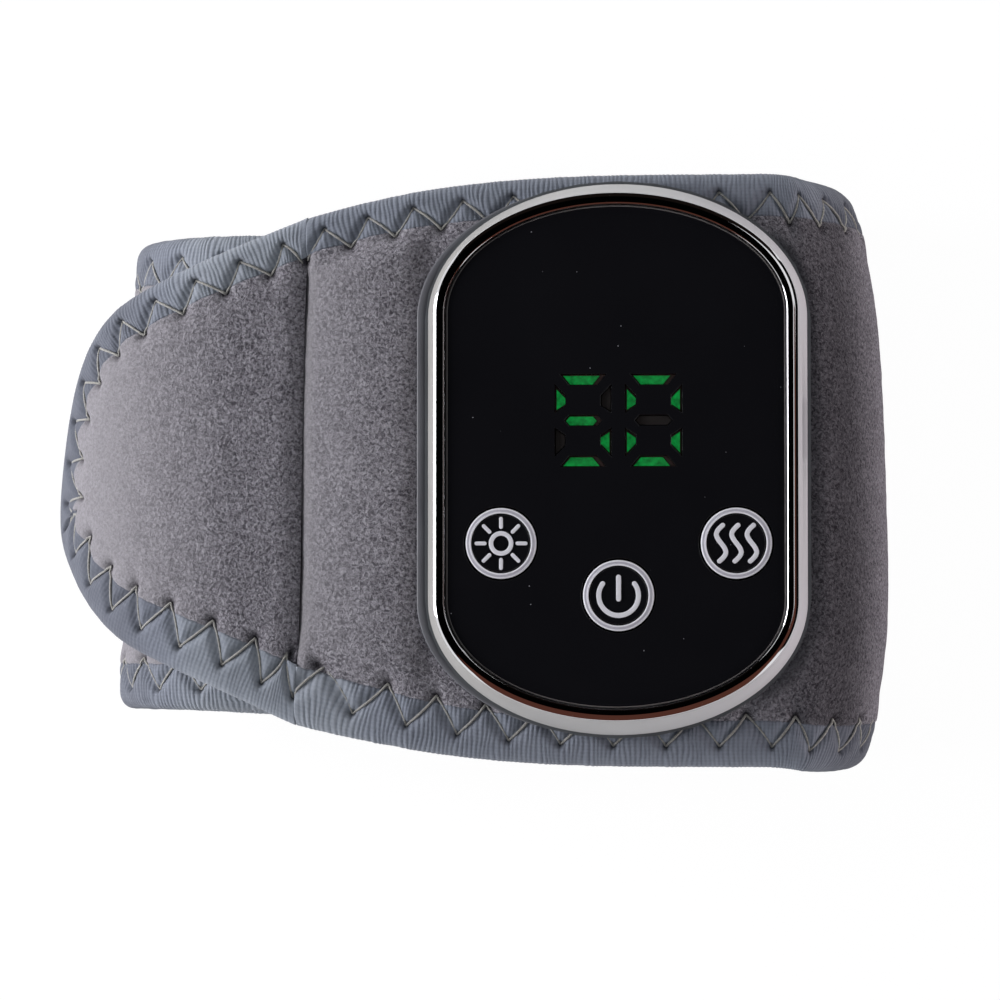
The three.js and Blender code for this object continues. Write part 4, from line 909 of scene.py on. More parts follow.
# A darker copy of the thread, used as painted shade.
shaded_thread = surface("spun_thread_painted_shade", spun_thread("#85847d", "#63625b"))
upper_thread = stitches("upper_stitches", on_loop, upper_seam, front_tape_top, cover_top)
lower_thread = stitches("lower_stitches", on_loop, lower_seam, front_tape_top, cover_top)
rear_thread = stitches("rear_stitches", on_loop, rear_seam, front_tape_top, cover_top)
strap_thread = stitches("strap_stitches", on_strap, strap_seam, strap_tape_top, strap_cover_top)
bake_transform(upper_thread, "root", "rear_band", **bend_blend)
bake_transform(lower_thread, "root", "rear_band", **bend_blend)
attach(rear_thread, "rear_band")
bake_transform(strap_thread, "root", "closure_strap", **seam_blend)

# Hook patch
# A strip of moulded hooks is sewn under the strap and grips the pile of the rear band's inner end. It keeps
# the shape of its CAD node.


def hook_tape(tree):
    """Nylon hook tape: rows of tiny stiff hooks that glint a little."""
    where = add(tree, "TexCoord").outputs["Object"]
    hooks = add(tree, "TexVoronoi", {"Vector": where, "Scale": 1 / (0.9 * MM)}).outputs["Distance"]
    tone = add(tree, "Mix", {"Factor": hooks, "A": linear("#6a6c72"), "B": linear("#2f3035")},
               data_type="RGBA")
    bump = add(tree, "Bump", {"Height": hooks, "Strength": 0.9, "Distance": 0.4 * MM})
    return {"Base Color": tone.outputs["Result"], "Roughness": 0.6, "Normal": bump.outputs[0]}


def refinish(material, *nodes):
    for name in nodes:
        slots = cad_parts[name].data.materials
        slots.clear()
        slots.append(material)


refinish(surface("hook_tape", hook_tape), "hook_patch")

# Control unit: side frame
# The frame is a ring of light grey ABS, moulded with a soft satin face, that flares out to its foot. The
# bezel and the panel drop into it from above.
unit_half, unit_straight, unit_end = 25.0, 19.7, 16.5
outline_rows, wall_stops = 360, 22
part_gap = 0.15
lens_foot, lens_top = (corner.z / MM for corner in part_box("display_lens"))
bezel_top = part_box("chrome_bezel")[1].z / MM
shelf_top = lens_foot - part_gap
frame_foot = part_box("side_frame")[0].z / MM
flare_side, flare_end, flare_power, flare_curve, flare_slope, frame_lip = 1.5, 2.3, 0.8, 0.94, 0.06, 0.2
rim_top = lens_top - 0.5
foot_round, foot_bevel, foot_bevel_height = 0.35, 0.1, 0.08
wall_foot, wall_top = frame_foot + foot_round, rim_top - 0.3
shelf_reach, shelf_wall, shelf_depth = 2.7, 0.7, 1.2


def pill_ring(name, profile, material, slot, body, *nodes, shift=0.0):
    """A ring all round the unit's outline. profile is a closed list of (side, end, height) offsets."""
    profile = np.array(profile)

    def shape(row, column):
        turn = 2 * math.pi * row / outline_rows
        side, end, z = profile[column].T
        straight_run = np.where(np.sin(turn) > 1e-9, 1, np.where(np.sin(turn) < -1e-9, -1, 0))
        x = shift + (unit_half + side) * np.cos(turn)
        y = straight_run * unit_straight + (unit_end + end) * np.sin(turn)
        return np.column_stack([x, y, z]), {}

    made = skin(name, outline_rows, len(profile), shape, closed_rows=True)
    dress(made, material, slot, *nodes)
    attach(made, body)
    return made


def all_round(points):
    """A profile that stands out as far at the sides as at the ends, from points of (offset, height)."""
    return [(out, out, z) for out, z in points]


def arc_points(centre, centre_z, radius, start, end, steps):
    """A rounded corner of a profile, as points of (offset, height)."""
    turns = np.radians(np.linspace(start, end, steps))
    return [(centre + radius * math.cos(t), centre_z + radius * math.sin(t)) for t in turns]


def satin_abs(tone, dark, rough, painted_light_right_tone=None):
    def inputs(tree):
        """Moulded ABS with a fine spark-eroded grain and faint flow shading. Its right side may be paler:
        painted light.
        """
        where = add(tree, "TexCoord").outputs["Object"]
        grain = add(tree, "TexNoise", {"Vector": where, "Scale": 1 / (0.12 * MM),
                                       "Detail": 2.0}).outputs["Fac"]
        flow = add(tree, "TexNoise", {"Vector": where, "Scale": 1 / (9 * MM), "Detail": 2.0})
        level = add(tree, "MapRange", {"Value": flow.outputs["Fac"], "From Min": 0.3, "From Max": 0.7})
        mixed = add(tree, "Mix", {"Factor": level.outputs["Result"], "A": linear(dark), "B": linear(tone)},
                    data_type="RGBA")
        x = add(tree, "SeparateXYZ", {"Vector": where}).outputs["X"]
        right = add(tree, "MapRange", {"Value": x, "From Min": -24 * MM, "From Max": 24 * MM})
        mixed = add(tree, "Mix", {"Factor": right.outputs["Result"], "A": mixed.outputs["Result"],
                                  "B": linear(painted_light_right_tone or tone)}, data_type="RGBA")
        haze = add(tree, "MapRange", {"Value": grain, "To Min": rough - 0.06, "To Max": rough + 0.06})
        bump = add(tree, "Bump", {"Height": grain, "Strength": 0.12, "Distance": 0.03 * MM})
        return {"Base Color": mixed.outputs["Result"], "Roughness": haze.outputs["Result"],
                "Specular IOR Level": 0.3, "Normal": bump.outputs[0]}
    return inputs


# The frame's right side is painted paler: painted light.
light_abs = surface("satin_light_grey_abs", satin_abs("#aeada9", "#a6a5a0", 0.42, "#cfced0"))
outer_wall = []
for share in np.linspace(0, 1, wall_stops):
    flare = 1 - smooth(share) ** flare_power * flare_curve - flare_slope * share
    side, end = (frame_lip + (foot - frame_lip) * flare for foot in (flare_side, flare_end))
    outer_wall.append((side, end, wall_foot + (wall_top - wall_foot) * share))
frame_profile = (
    [(flare_side - foot_round, flare_end - foot_round, frame_foot),
     (flare_side - foot_bevel, flare_end - foot_bevel, frame_foot + foot_bevel_height)]
    + outer_wall
    + all_round([
        (frame_lip - 0.05, rim_top - 0.12), (frame_lip - 0.15, rim_top - 0.03), (-0.02, rim_top),
        (-part_gap, rim_top - 0.1), (-part_gap, shelf_top), (-shelf_reach, shelf_top),
        (-shelf_reach, shelf_top - shelf_depth), (-shelf_wall, shelf_top - shelf_depth),
        (-shelf_wall, frame_foot),
    ])
)
side_frame = pill_ring("side_frame_shell", frame_profile, light_abs, "grey_plastic", "root", "side_frame")

# Shell rim
# The back shell ends in a low rim of smooth grey ABS under the frame. It stands out a little on the left,
# where the cloth lies lower.
rim_low, rim_high, rim_out, rim_end_out, rim_shift = 43.6, 45.1, 2.15, 0.3, -1.05
rim_in, rim_end_in, rim_crown, rim_round, rim_bevel = 0.6, 1.4, 0.05, 0.2, 0.06
rim_abs = surface("smooth_grey_abs_rim", satin_abs("#6b6c70", "#616266", 0.4))
rim_profile = [(rim_in, rim_end_in, rim_low)]
for inwards, z in ((0, rim_low), (0, rim_high - rim_round), (rim_bevel, rim_high - rim_bevel),
                   (rim_round, rim_high)):
    rim_profile.append((rim_out - inwards, rim_out + rim_end_out - inwards, z))
rim_profile.append((rim_in, rim_end_in, rim_high + rim_crown))
pill_ring("back_shell_rim", rim_profile, rim_abs, "dark_plastic", "root", shift=rim_shift)

# Charging port
# The port opens in the right-hand wall of the frame. The cut has a rounded outline, and the plated socket
# sits in it.
socket_low, socket_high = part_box("charge_socket_shell")
port_middle = ((unit_half + 1) * MM, (socket_low.y + socket_high.y) / 2, (socket_low.z + socket_high.z) / 2)
port_deep, port_wide, port_high, port_corner = 8, 9.7, 4.0, 1.6
port_tool = bmesh.new()
bmesh.ops.create_cube(port_tool, size=1)
bmesh.ops.scale(port_tool, vec=(port_deep * MM, port_wide * MM, port_high * MM), verts=port_tool.verts[:])
lengthwise = [e for e in port_tool.edges if abs((e.verts[0].co - e.verts[1].co).x) > 1 * MM]
bmesh.ops.bevel(port_tool, geom=lengthwise, offset=port_corner * MM, affect="EDGES", segments=8, profile=0.5,
                material=-1)
bmesh.ops.translate(port_tool, vec=port_middle, verts=port_tool.verts[:])
port_cut = finished(port_tool, "port_cut")
cutting = side_frame.modifiers.new("port", "BOOLEAN")
cutting.object = port_cut
cutting.solver = "EXACT"
evaluated = side_frame.evaluated_get(bpy.context.evaluated_depsgraph_get())
cut_mesh = bpy.data.meshes.new_from_object(evaluated)
side_frame.modifiers.clear()
side_frame.data = cut_mesh
bpy.data.objects.remove(port_cut)

# Bezel
# A thin ring of ABS, vacuum plated with chromium, trims the panel. It is domed towards its outer side and
# mirrors the dark above it, with fine bright lines where it turns down.
bezel_width, bezel_round, dome_radius, dome_turn = 1.6, 0.3, 1.3, 46.0
outer_drop, inner_drop = 1.2, 0.4


def mirror_plate(tree):
    """Chromium over ABS: a near perfect mirror with the faintest ripple."""
    where = add(tree, "TexCoord").outputs["Object"]
    ripple = add(tree, "TexNoise", {"Vector": where, "Scale": 1 / (2.5 * MM), "Detail": 1.0})
    haze = add(tree, "MapRange", {"Value": ripple.outputs["Fac"], "To Min": 0.03, "To Max": 0.07})
    bump = add(tree, "Bump", {"Height": ripple.outputs["Fac"], "Strength": 0.04, "Distance": 0.05 * MM})
    return {"Base Color": linear("#dadadd"), "Metallic": 1.0, "Roughness": haze.outputs["Result"],
            "Normal": bump.outputs[0]}


chrome = surface("chromium_plate", mirror_plate)
bezel_foot = shelf_top + part_gap
bezel_profile = all_round(
    [(0, bezel_foot), (0, bezel_top - outer_drop)]
    + arc_points(-dome_radius * math.sin(math.radians(dome_turn)), bezel_top - dome_radius, dome_radius,
                 90 - dome_turn, 90, steps=15)
    + arc_points(-bezel_width + bezel_round, bezel_top - bezel_round, bezel_round, 90, 180, steps=9)
    + [(-bezel_width, lens_top - inner_drop), (-bezel_width, bezel_foot)]
)
pill_ring("bezel_ring", bezel_profile, chrome, "chrome_plate", "root", "chrome_bezel")

# Front panel of the unit
# The panel is smoked acrylic, polished and printed black behind. Its bars are clear windows, with brown
# print at their rims, and it has three round holes for the keys.
digit_height, digit_width, digit_pitch, digit_x, digit_y = 12.7, 7.8, 9.65, 0.4, 4.9
bar_width, corner_gap, top_slant, middle_reach, middle_slant = 1.5, 0.72, 1.25, 2.6, 0.65
side_outer, side_inner = (1.0, 5.0), (2.0, 3.45)
slanted_from = 0.3
key_radius, key_fit = 5.0, 0.15
lens_edge_round, lens_rim_round = 0.05, 0.2
keys = {}
for key in ("heat", "power", "massage"):
    low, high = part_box(key + "_button_ring")
    keys[key] = ((low.x + high.x) / 2 / MM, (low.y + high.y) / 2 / MM)


def flip_x(bar):
    return [(-x, y) for x, y in bar][::-1]


def flip_y(bar):
    return [(x, -y) for x, y in bar][::-1]


def bar_outlines():
    """The seven bars of a digit round its centre, each clockwise."""
    x, y, w = digit_width / 2, digit_height / 2, bar_width
    long, short = x - corner_gap, x - corner_gap - top_slant
    top = [(-long, y), (long, y), (short, y - w), (-short, y - w)]
    upper_right = [(x, side_outer[0]), (x - w, side_inner[0]), (x - w, side_inner[1]), (x, side_outer[1])]
    long, short = middle_reach, middle_reach - middle_slant
    middle = [(-long, 0), (-short, w / 2), (short, w / 2), (long, 0), (short, -w / 2), (-short, -w / 2)]
    lower_right = flip_y(upper_right)
    return [top, upper_right, lower_right, flip_y(top), flip_x(lower_right), flip_x(upper_right), middle]


def inset_outline(points, inset, slant_inset=None):
    """Moves each side of a clockwise outline inwards and meets its neighbours again. Slanted sides may move
    further."""
    sides = []
    for start, end in zip(points, points[1:] + points[:1]):
        along = (Vector(end) - Vector(start)).normalized()
        slanted = min(abs(along.x), abs(along.y)) > slanted_from
        moved = slant_inset if slanted and slant_inset else inset
        sides.append((Vector(start) + Vector((along.y, -along.x)) * moved, along))
    met = []
    for (start, along), (before, before_along) in zip(sides, sides[-1:] + sides[:-1]):
        reach = (start - before).cross(along) / before_along.cross(along)
        met.append(tuple(before + before_along * reach))
    return met


def pill_outline(inset, count=320):
    turns = np.linspace(0, 2 * math.pi, count, endpoint=False) + math.pi / count
    ends = np.sign(np.sin(turns))
    return [((unit_half - inset) * math.cos(t), e * unit_straight + (unit_end - inset) * math.sin(t))
            for t, e in zip(turns, ends)]


def round_outline(x, y, radius, count=96):
    turns = np.linspace(0, 2 * math.pi, count + 1)[:-1]
    return [(x + radius * math.cos(t), y + radius * math.sin(t)) for t in turns]


def push_down(bm, faces, depth):
    """Makes a face or a joined set of faces into a body of this depth below it."""
    pushed = bmesh.ops.extrude_face_region(bm, geom=faces)
    lower = [g for g in pushed["geom"] if isinstance(g, bmesh.types.BMVert)]
    bmesh.ops.translate(bm, vec=(0, 0, -depth * MM), verts=lower)


def plate(name, outlines, top, bottom, edge_round, rim_round=None):
    """A flat plate with holes: its outlines are filled, pushed down and rounded along the top edges. The
    first outline is the rim. Where it is rounded on its own, it takes the second material."""
    bm = bmesh.new()
    for outline in outlines:
        verts = [bm.verts.new((x * MM, y * MM, top * MM)) for x, y in outline]
        for a, b in zip(verts, verts[1:] + verts[:1]):
            bm.edges.new((a, b))
    bmesh.ops.triangle_fill(bm, use_beauty=True, use_dissolve=False, edges=bm.edges[:])
    inner_edges = [e for e in bm.edges if not e.is_boundary]
    bmesh.ops.dissolve_limit(bm, angle_limit=0.01, verts=[], edges=inner_edges)
    push_down(bm, bm.faces[:], top - bottom)
    bmesh.ops.recalc_face_normals(bm, faces=bm.faces[:])
    on_rim = {(round(x, 3), round(y, 3)) for x, y in outlines[0]}
    for of_rim, offset in ((True, rim_round or edge_round), (False, edge_round)):
        rims = [e for e in bm.edges if all(abs(v.co.z - top * MM) < 1e-7 for v in e.verts)
                and len(e.link_faces) == 2 and abs(e.calc_face_angle(0)) > 1
                and of_rim == all((round(v.co.x / MM, 3), round(v.co.y / MM, 3)) in on_rim for v in e.verts)]
        if rims:
            rounded = bmesh.ops.bevel(bm, geom=rims, offset=offset * MM, affect="EDGES", segments=3,
                                      profile=0.5, material=-1)
            for face in rounded["faces"]:
                face.material_index = 1 if of_rim and rim_round else 0
    return finished(bm, name, smooth_faces=False)


def smoked_acrylic(tree):
    """Polished black acrylic: deep and even, with fine dust that breaks the reflection a little."""
    where = add(tree, "TexCoord").outputs["Object"]
    dust = add(tree, "TexVoronoi", {"Vector": where, "Scale": 1 / (3.2 * MM), "Randomness": 1.0})
    speck = add(tree, "MapRange", {"Value": dust.outputs["Distance"], "From Min": 0.022, "From Max": 0.03,
                                   "To Min": 1.0, "To Max": 0.0})
    bloom = add(tree, "TexNoise", {"Vector": where, "Scale": 1 / (14 * MM), "Detail": 3.0}).outputs["Fac"]
    tone = add(tree, "Mix", {"Factor": bloom, "A": linear("#131316"), "B": linear("#18181b")},
               data_type="RGBA")
    dusty = add(tree, "Mix", {"Factor": speck.outputs["Result"], "A": tone.outputs["Result"],
                              "B": linear("#8c8c90")}, data_type="RGBA")
    haze = add(tree, "MapRange", {"Value": bloom, "To Min": 0.05, "To Max": 0.13})
    return {"Base Color": dusty.outputs["Result"], "Roughness": haze.outputs["Result"], "IOR": 1.49}


def two_tone(name, dark, light, size, rough, detail=3.0, bump_share=0.0, metal=0.0):
    """A plain material: two close tones, mottled at a real grain size. rough is one roughness, or the least
    and the most, and bump_share is how strongly the grain stands out."""
    def inputs(tree):
        where = add(tree, "TexCoord").outputs["Object"]
        grain = add(tree, "TexNoise", {"Vector": where, "Scale": 1 / (size * MM),
                                       "Detail": detail}).outputs["Fac"]
        tone = add(tree, "Mix", {"Factor": grain, "A": linear(dark), "B": linear(light)}, data_type="RGBA")
        values = {"Base Color": tone.outputs["Result"], "Metallic": metal, "Roughness": rough}
        if isinstance(rough, tuple):
            haze = add(tree, "MapRange", {"Value": grain, "To Min": rough[0], "To Max": rough[1]})
            values["Roughness"] = haze.outputs["Result"]
        if bump_share:
            bump = add(tree, "Bump", {"Height": grain, "Strength": bump_share, "Distance": 0.05 * MM})
            values["Normal"] = bump.outputs[0]
        return values
    return surface(name, inputs)


# The panel's rounded rim is grey with a fine mottle, a painted highlight along its edge. The rims of its
# windows
# are screen printed: dark brown and matt.
black_acrylic = surface("polished_black_acrylic", smoked_acrylic)
rim_painted_highlight = two_tone("acrylic_rim_painted_highlight", "#5f5c5a", "#86827f", 1.5, 0.35)
window_print = two_tone("brown_window_print", "#2a1f1c", "#45312c", 0.6, 0.5, detail=2.0)
windows = [[(px + x, py + digit_y) for px, py in bar]
           for x in (digit_x - digit_pitch / 2, digit_x + digit_pitch / 2) for bar in bar_outlines()]
key_holes = [round_outline(x, y, key_radius + key_fit) for x, y in keys.values()]
lens = plate("panel_lens", [pill_outline(bezel_width + part_gap)] + windows + key_holes, lens_top,
             shelf_top + part_gap, lens_edge_round, rim_round=lens_rim_round)
dress(lens, black_acrylic, "black_gloss", "display_lens")
# The rounded rim takes the grey painted highlight.
lens.data.materials.append(rim_painted_highlight)
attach(lens, "root")

# Light guide
# Under each window stands a bar of milky acrylic on one common plate, lit green from the board. The bars
# that are off are the same acrylic without light: dull, dark brown-grey.
lit_bars = {0: (0, 2, 3, 5, 6), 1: (0, 1, 2, 3, 4, 5)}
lit_inset, lit_slant_insets = 0.16, (0.42, 0.36, 0.36, 0.44, 0.36, 0.36, 0.38)
lit_shifts, lit_drop = (-0.25, -0.16, -0.16, -0.25, 0.09, 0.09, -0.25), 0.06
unlit_inset, rim_inset, rim_drop, bar_round, plate_round = 0.1, 0.04, 0.12, 0.06, 0.2
guide_low, guide_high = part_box("light_guide")
guide_drop, plate_thickness, bar_gap, rim_gap = 0.42, 0.8, 0.02, 0.05
guide_top = lens_top - guide_drop
plate_bottom = guide_low.z / MM
plate_top = plate_bottom + plate_thickness


def lit_acrylic(tree):
    """Milky acrylic with a green lamp behind it: bright, with cloudy patches from the diffuser."""
    where = add(tree, "TexCoord").outputs["Object"]
    cloud = add(tree, "TexNoise", {"Vector": where, "Scale": 1 / (0.8 * MM), "Detail": 4.0,
                                   "Roughness": 0.7})
    level = add(tree, "MapRange", {"Value": cloud.outputs["Fac"], "From Min": 0.32, "From Max": 0.68})
    glow = add(tree, "Mix", {"Factor": level.outputs["Result"], "A": linear("#03501f"),
                             "B": linear("#078638")}, data_type="RGBA")
    return {"Base Color": linear("#04180d"), "Roughness": 0.5, "Emission Color": glow.outputs["Result"],
            "Emission Strength": 0.95}


def lit_part(digit, bar):
    """The lit part of a bar: well inside the slanted ends of its window and a little off its middle."""
    outline = inset_outline(windows[7 * digit + bar], lit_inset, lit_slant_insets[bar])
    return [(x + lit_shifts[bar], y - lit_drop) for x, y in outline]


def bars(name, outlines, top, bottom):
    bm = bmesh.new()
    for outline in outlines:
        verts = [bm.verts.new((x * MM, y * MM, top * MM)) for x, y in outline]
        push_down(bm, [bm.faces.new(verts)], top - bottom)
    bmesh.ops.recalc_face_normals(bm, faces=bm.faces[:])
    rims = [e for e in bm.edges if all(abs(v.co.z - top * MM) < 1e-7 for v in e.verts)]
    bmesh.ops.bevel(bm, geom=rims, offset=bar_round * MM, affect="EDGES", segments=2, profile=0.5,
                    material=-1)
    return finished(bm, name, smooth_faces=False)


lit = [windows[7 * digit + i] for digit, chosen in lit_bars.items() for i in chosen]
glowing = [lit_part(digit, i) for digit, chosen in lit_bars.items() for i in chosen]
unlit = [inset_outline(bar, unlit_inset) for bar in windows if bar not in lit]
printed = [inset_outline(bar, rim_inset) for bar in lit]
plate_outline = [(x / MM, y / MM) for x, y in ((guide_low.x, guide_low.y), (guide_high.x, guide_low.y),
                                               (guide_high.x, guide_high.y), (guide_low.x, guide_high.y))]
window_backs = plate("window_backing", [plate_outline], plate_top, plate_bottom, plate_round)
lit_pieces = bars("lit_bars", glowing, guide_top, plate_top + bar_gap)
unlit_pieces = bars("unlit_bars", unlit, guide_top, plate_top + bar_gap)
rim_bars = bars("window_rims", printed, guide_top - rim_drop, plate_top + rim_gap)
lit_green = surface("lit_green_acrylic", lit_acrylic)
unlit_acrylic = two_tone("unlit_acrylic", "#1f1c1b", "#2d2927", 0.8, 0.45)
for piece, material in ((lit_pieces, lit_green), (unlit_pieces, unlit_acrylic), (window_backs, window_print),
                        (rim_bars, window_print)):
    dress(piece, material, "light_pipe", "light_guide")
    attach(piece, "root")

# Keys
# Each key is a black acrylic cap, dished a little, with a satin aluminium ring pressed round its rim and its
# sign inlaid in the same silver. It moves down with its ring and the plunger of its switch.
ring_outer, ring_width, ring_proud, ring_lift, ring_fall = 4.86, 0.75, 0.12, 0.08, 0.16
ring_height, groove_half, groove_depth = 0.5, 0.16, 0.04
dish, dish_from, dish_stops, sign_proud, sign_root = 0.2, 0.96, 14, 0.02, 0.1
flange, flange_thickness, flange_bevel, stem, cap_bevel = 5.5, 0.55, 0.1, 5, 0.08
stroke_rows, stroke_ends, stroke_edge_drop = 40, 8, 0.04


def turned(name, profile, x, y, closed):
    """A profile of (radius, height) spun about the key's own upright axis."""
    bm = bmesh.new()
    verts = [bm.verts.new((r * MM, 0, z * MM)) for r, z in profile]
    edges = [bm.edges.new(pair) for pair in zip(verts, verts[1:])]
    if closed:
        edges.append(bm.edges.new((verts[-1], verts[0])))
    bmesh.ops.spin(bm, geom=verts + edges, cent=(0, 0, 0), axis=(0, 0, 1), angle=2 * math.pi, steps=128,
                   use_merge=True)
    bmesh.ops.remove_doubles(bm, verts=bm.verts[:], dist=1e-7)
    bmesh.ops.recalc_face_normals(bm, faces=bm.faces[:])
    bmesh.ops.translate(bm, vec=(x * MM, y * MM, 0), verts=bm.verts[:])
    return finished(bm, name)


def stroke(bm, points, width, top, bottom):
    """A line of a sign: a low bar with round ends along the points, or a ring where they close."""
    path = Line(np.array(points))
    closed = math.dist(points[0], points[-1]) < 0.01
    rows = stroke_rows + 2 * stroke_ends
    part = bmesh.new()
    bmesh.ops.create_grid(part, x_segments=rows, y_segments=4, size=1)
    grid = np.array([v.co[:2] for v in part.verts])
    row = np.rint((grid[:, 0] + 1) / 2 * rows)
    place, along = path.at(np.clip((row - stroke_ends) / stroke_rows, 0, 1) * path.length)
    side = width / 2 * grid[:, 1]
    past = 0 * side
    if not closed:
        turn = np.radians(np.clip(np.minimum(row, rows - row), 0, stroke_ends) / stroke_ends * 90)
        at_start, at_end = row <= stroke_ends, row >= rows - stroke_ends
        past = np.where(at_start, -np.cos(turn), np.where(at_end, np.cos(turn), 0)) * (width / 2)
        side = np.where(at_start | at_end, np.sin(turn), 1) * (width / 2) * grid[:, 1]
    xy = place + along * past[:, None] + np.column_stack([-along[:, 1], along[:, 0]]) * side[:, None]
    height = top - (np.abs(grid[:, 1]) > 0.9) * stroke_edge_drop
    for vert, (x, y), z in zip(part.verts, xy, height):
        vert.co = (x * MM, y * MM, z * MM)
    bmesh.ops.remove_doubles(part, verts=part.verts[:], dist=1e-8)
    pushed = bmesh.ops.extrude_face_region(part, geom=part.faces[:])
    for vert in pushed["geom"]:
        if isinstance(vert, bmesh.types.BMVert):
            vert.co.z = bottom * MM
    bmesh.ops.recalc_face_normals(part, faces=part.faces[:])
    stored = bpy.data.meshes.new("stroke")
    part.to_mesh(stored)
    part.free()
    bm.from_mesh(stored)
    bpy.data.meshes.remove(stored)


def circle_points(radius, start, end, count=60):
    turns = np.radians(np.linspace(start, end, count))
    return np.column_stack([radius * np.cos(turns), radius * np.sin(turns)])


def sun_sign():
    """A ring with eight rays. Each sign is a list of its lines round the key's centre and their widths."""
    disc, ray_from, ray_to, disc_width, ray_width = 1.38, 2.25, 3.38, 0.62, 0.52
    lines = [(circle_points(disc, 0, 360, count=240), disc_width)]
    for turn in np.radians(np.arange(0, 360, 45)):
        way = np.array([math.cos(turn), math.sin(turn)])
        lines.append((np.array([way * ray_from, way * ray_to]), ray_width))
    return lines


def power_sign():
    """A ring that is open at the top, with an upright bar in the gap."""
    radius, half_gap, bar_top, bar_foot, width = 2.72, 53, 2.52, -0.47, 0.68
    bar = np.array([[0, bar_top], [0, bar_foot]])
    return [(circle_points(radius, 90 + half_gap, 450 - half_gap), width), (bar, width)]


def wave_sign():
    """Three upright waves, whose ends hook over."""
    pitch, half_height, swing, turns, width = 2.1, 2.45, 0.66, 0.94, 0.66
    hook_from, hook_power, hook_reach = 0.45, 1.5, 0.95
    heights = np.linspace(half_height, -half_height, 60)
    bend = -swing * np.sin(heights / half_height * math.pi * turns)
    past = np.clip(np.abs(heights) / half_height - hook_from, 0, 1) ** hook_power
    hook = hook_reach * np.sign(heights) * past * 0.9
    return [(np.column_stack([offset + bend + hook, heights]), width) for offset in (-pitch, 0, pitch)]


# Silver lacquer over satin aluminium is bright and even, with faint turning lines. The groove has painted
# shade.
silver_haze = (0.42, 0.55)
silver = two_tone("satin_aluminium", "#f2f2f6", "#fbfbff", 0.35, silver_haze, detail=2.0, metal=0.08)
groove_painted_shade = two_tone("aluminium_groove_painted_shade", "#bdbbc4", "#cfcdd6", 0.35, silver_haze, detail=2.0,
                       metal=0.08)
cap_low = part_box("heat_button")[0].z / MM
flange_top = cap_low + flange_thickness
ring_bottom = lens_top + ring_proud - ring_height
seat = ring_outer - ring_width - part_gap
cap_profile = [(0, cap_low), (flange - flange_bevel, cap_low), (flange, cap_low + flange_bevel),
               (flange, flange_top), (stem, flange_top), (stem, ring_bottom - part_gap),
               (seat, ring_bottom - part_gap), (seat, lens_top - cap_bevel), (seat - cap_bevel, lens_top)]
for share in np.linspace(dish_from, 0, dish_stops):
    cap_profile.append((seat * share, lens_top - dish * (1 - share**2)))
ring_profile = [(ring_outer, ring_bottom)]
for inwards, drop in ((0, 0.1), (0.04, 0.03), (0.12, 0), (0.22, 0.01), (0.3, groove_depth),
                      (0.45, groove_depth), (0.53, 0.01), (ring_width - 0.12, 0), (ring_width - 0.04, 0.03),
                      (ring_width, 0.1)):
    slope = ring_lift - ring_fall * (ring_width - inwards) / ring_width
    ring_profile.append((ring_outer - inwards, lens_top + ring_proud - drop + slope))
ring_profile.append((ring_outer - ring_width, ring_bottom))
signs = {"heat": sun_sign(), "power": power_sign(), "massage": wave_sign()}
for key, (x, y) in keys.items():
    cap = turned(key + "_cap", cap_profile, x, y, closed=False)
    dress(cap, black_acrylic, "black_gloss", key + "_button")
    ring = turned(key + "_rim_ring", ring_profile, x, y, closed=True)
    dress(ring, silver, "silver_ring", key + "_button_ring")
    ring.data.materials.append(groove_painted_shade)
    # Faces in the groove take the darker silver: painted shade.
    for face in ring.data.polygons:
        out = math.hypot(face.center.x / MM - x, face.center.y / MM - y)
        in_groove = abs(out - ring_outer + ring_width / 2) < groove_half and face.center.z > lens_top * MM
        face.material_index = 1 if in_groove else 0
    inlay_bm = bmesh.new()
    for line, width in signs[key]:
        stroke(inlay_bm, line + (x, y), width, lens_top + sign_proud, lens_top - dish - sign_root)
    inlay = finished(inlay_bm, key + "_sign", smooth_faces=False)
    dress(inlay, silver, "silver_ring")
    for piece in (cap, ring, inlay):
        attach(piece, key + "_key")

# Shell and working parts
# The back shell is darker ABS. Inside are the board, the cell, the switches, the motor with its off-centre
# weight and the plated charging socket. All keep the shapes of their CAD nodes.
glossier, rougher, grain_share = 0.05, 0.08, 0.1


def working_part(material, dark, light, size, rough, nodes, metal=0.0):
    """Gives one material, with a faint grain and a slightly uneven gloss, to these CAD nodes."""
    gloss = (rough - glossier, rough + rougher)
    refinish(two_tone(material, dark, light, size, gloss, bump_share=grain_share, metal=metal), *nodes)


screws_and_switches = [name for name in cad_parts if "_screw_" in name or name.endswith("_switch")]
plungers = [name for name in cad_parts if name.endswith("_plunger")]
working_part("smooth_dark_grey_abs", "#56595b", "#63676a", 6.0, 0.38, ["back_shell"])
working_part("nickel_plated_steel", "#a9abad", "#c2c4c6", 0.5, 0.25,
             ["charge_socket_shell", "clamp_plate", "motor_can", "motor_shaft", "motor_weight"]
             + screws_and_switches, metal=1.0)
working_part("black_nylon", "#1a1b1d", "#26272a", 0.3, 0.5,
             ["charge_socket_tongue", "controller_chip", "motor_end_cap", "temperature_sensor"] + plungers)
working_part("solder_mask_board", "#17492b", "#205f3a", 2.0, 0.4, ["main_board"])
working_part("cell_foil", "#9a9ea3", "#b5b9be", 4.0, 0.3, ["battery"], metal=0.8)
working_part("closed_cell_foam", "#333437", "#424346", 0.5, 0.9, ["front_padding", "battery_pad"])
working_part("polyimide_film", "#a5661f", "#c47f33", 3.0, 0.35, ["heating_film", "heater_ribbon"])
working_part("moulded_rubber", "#222326", "#2d2e32", 0.4, 0.75, ["motor_sleeve"])

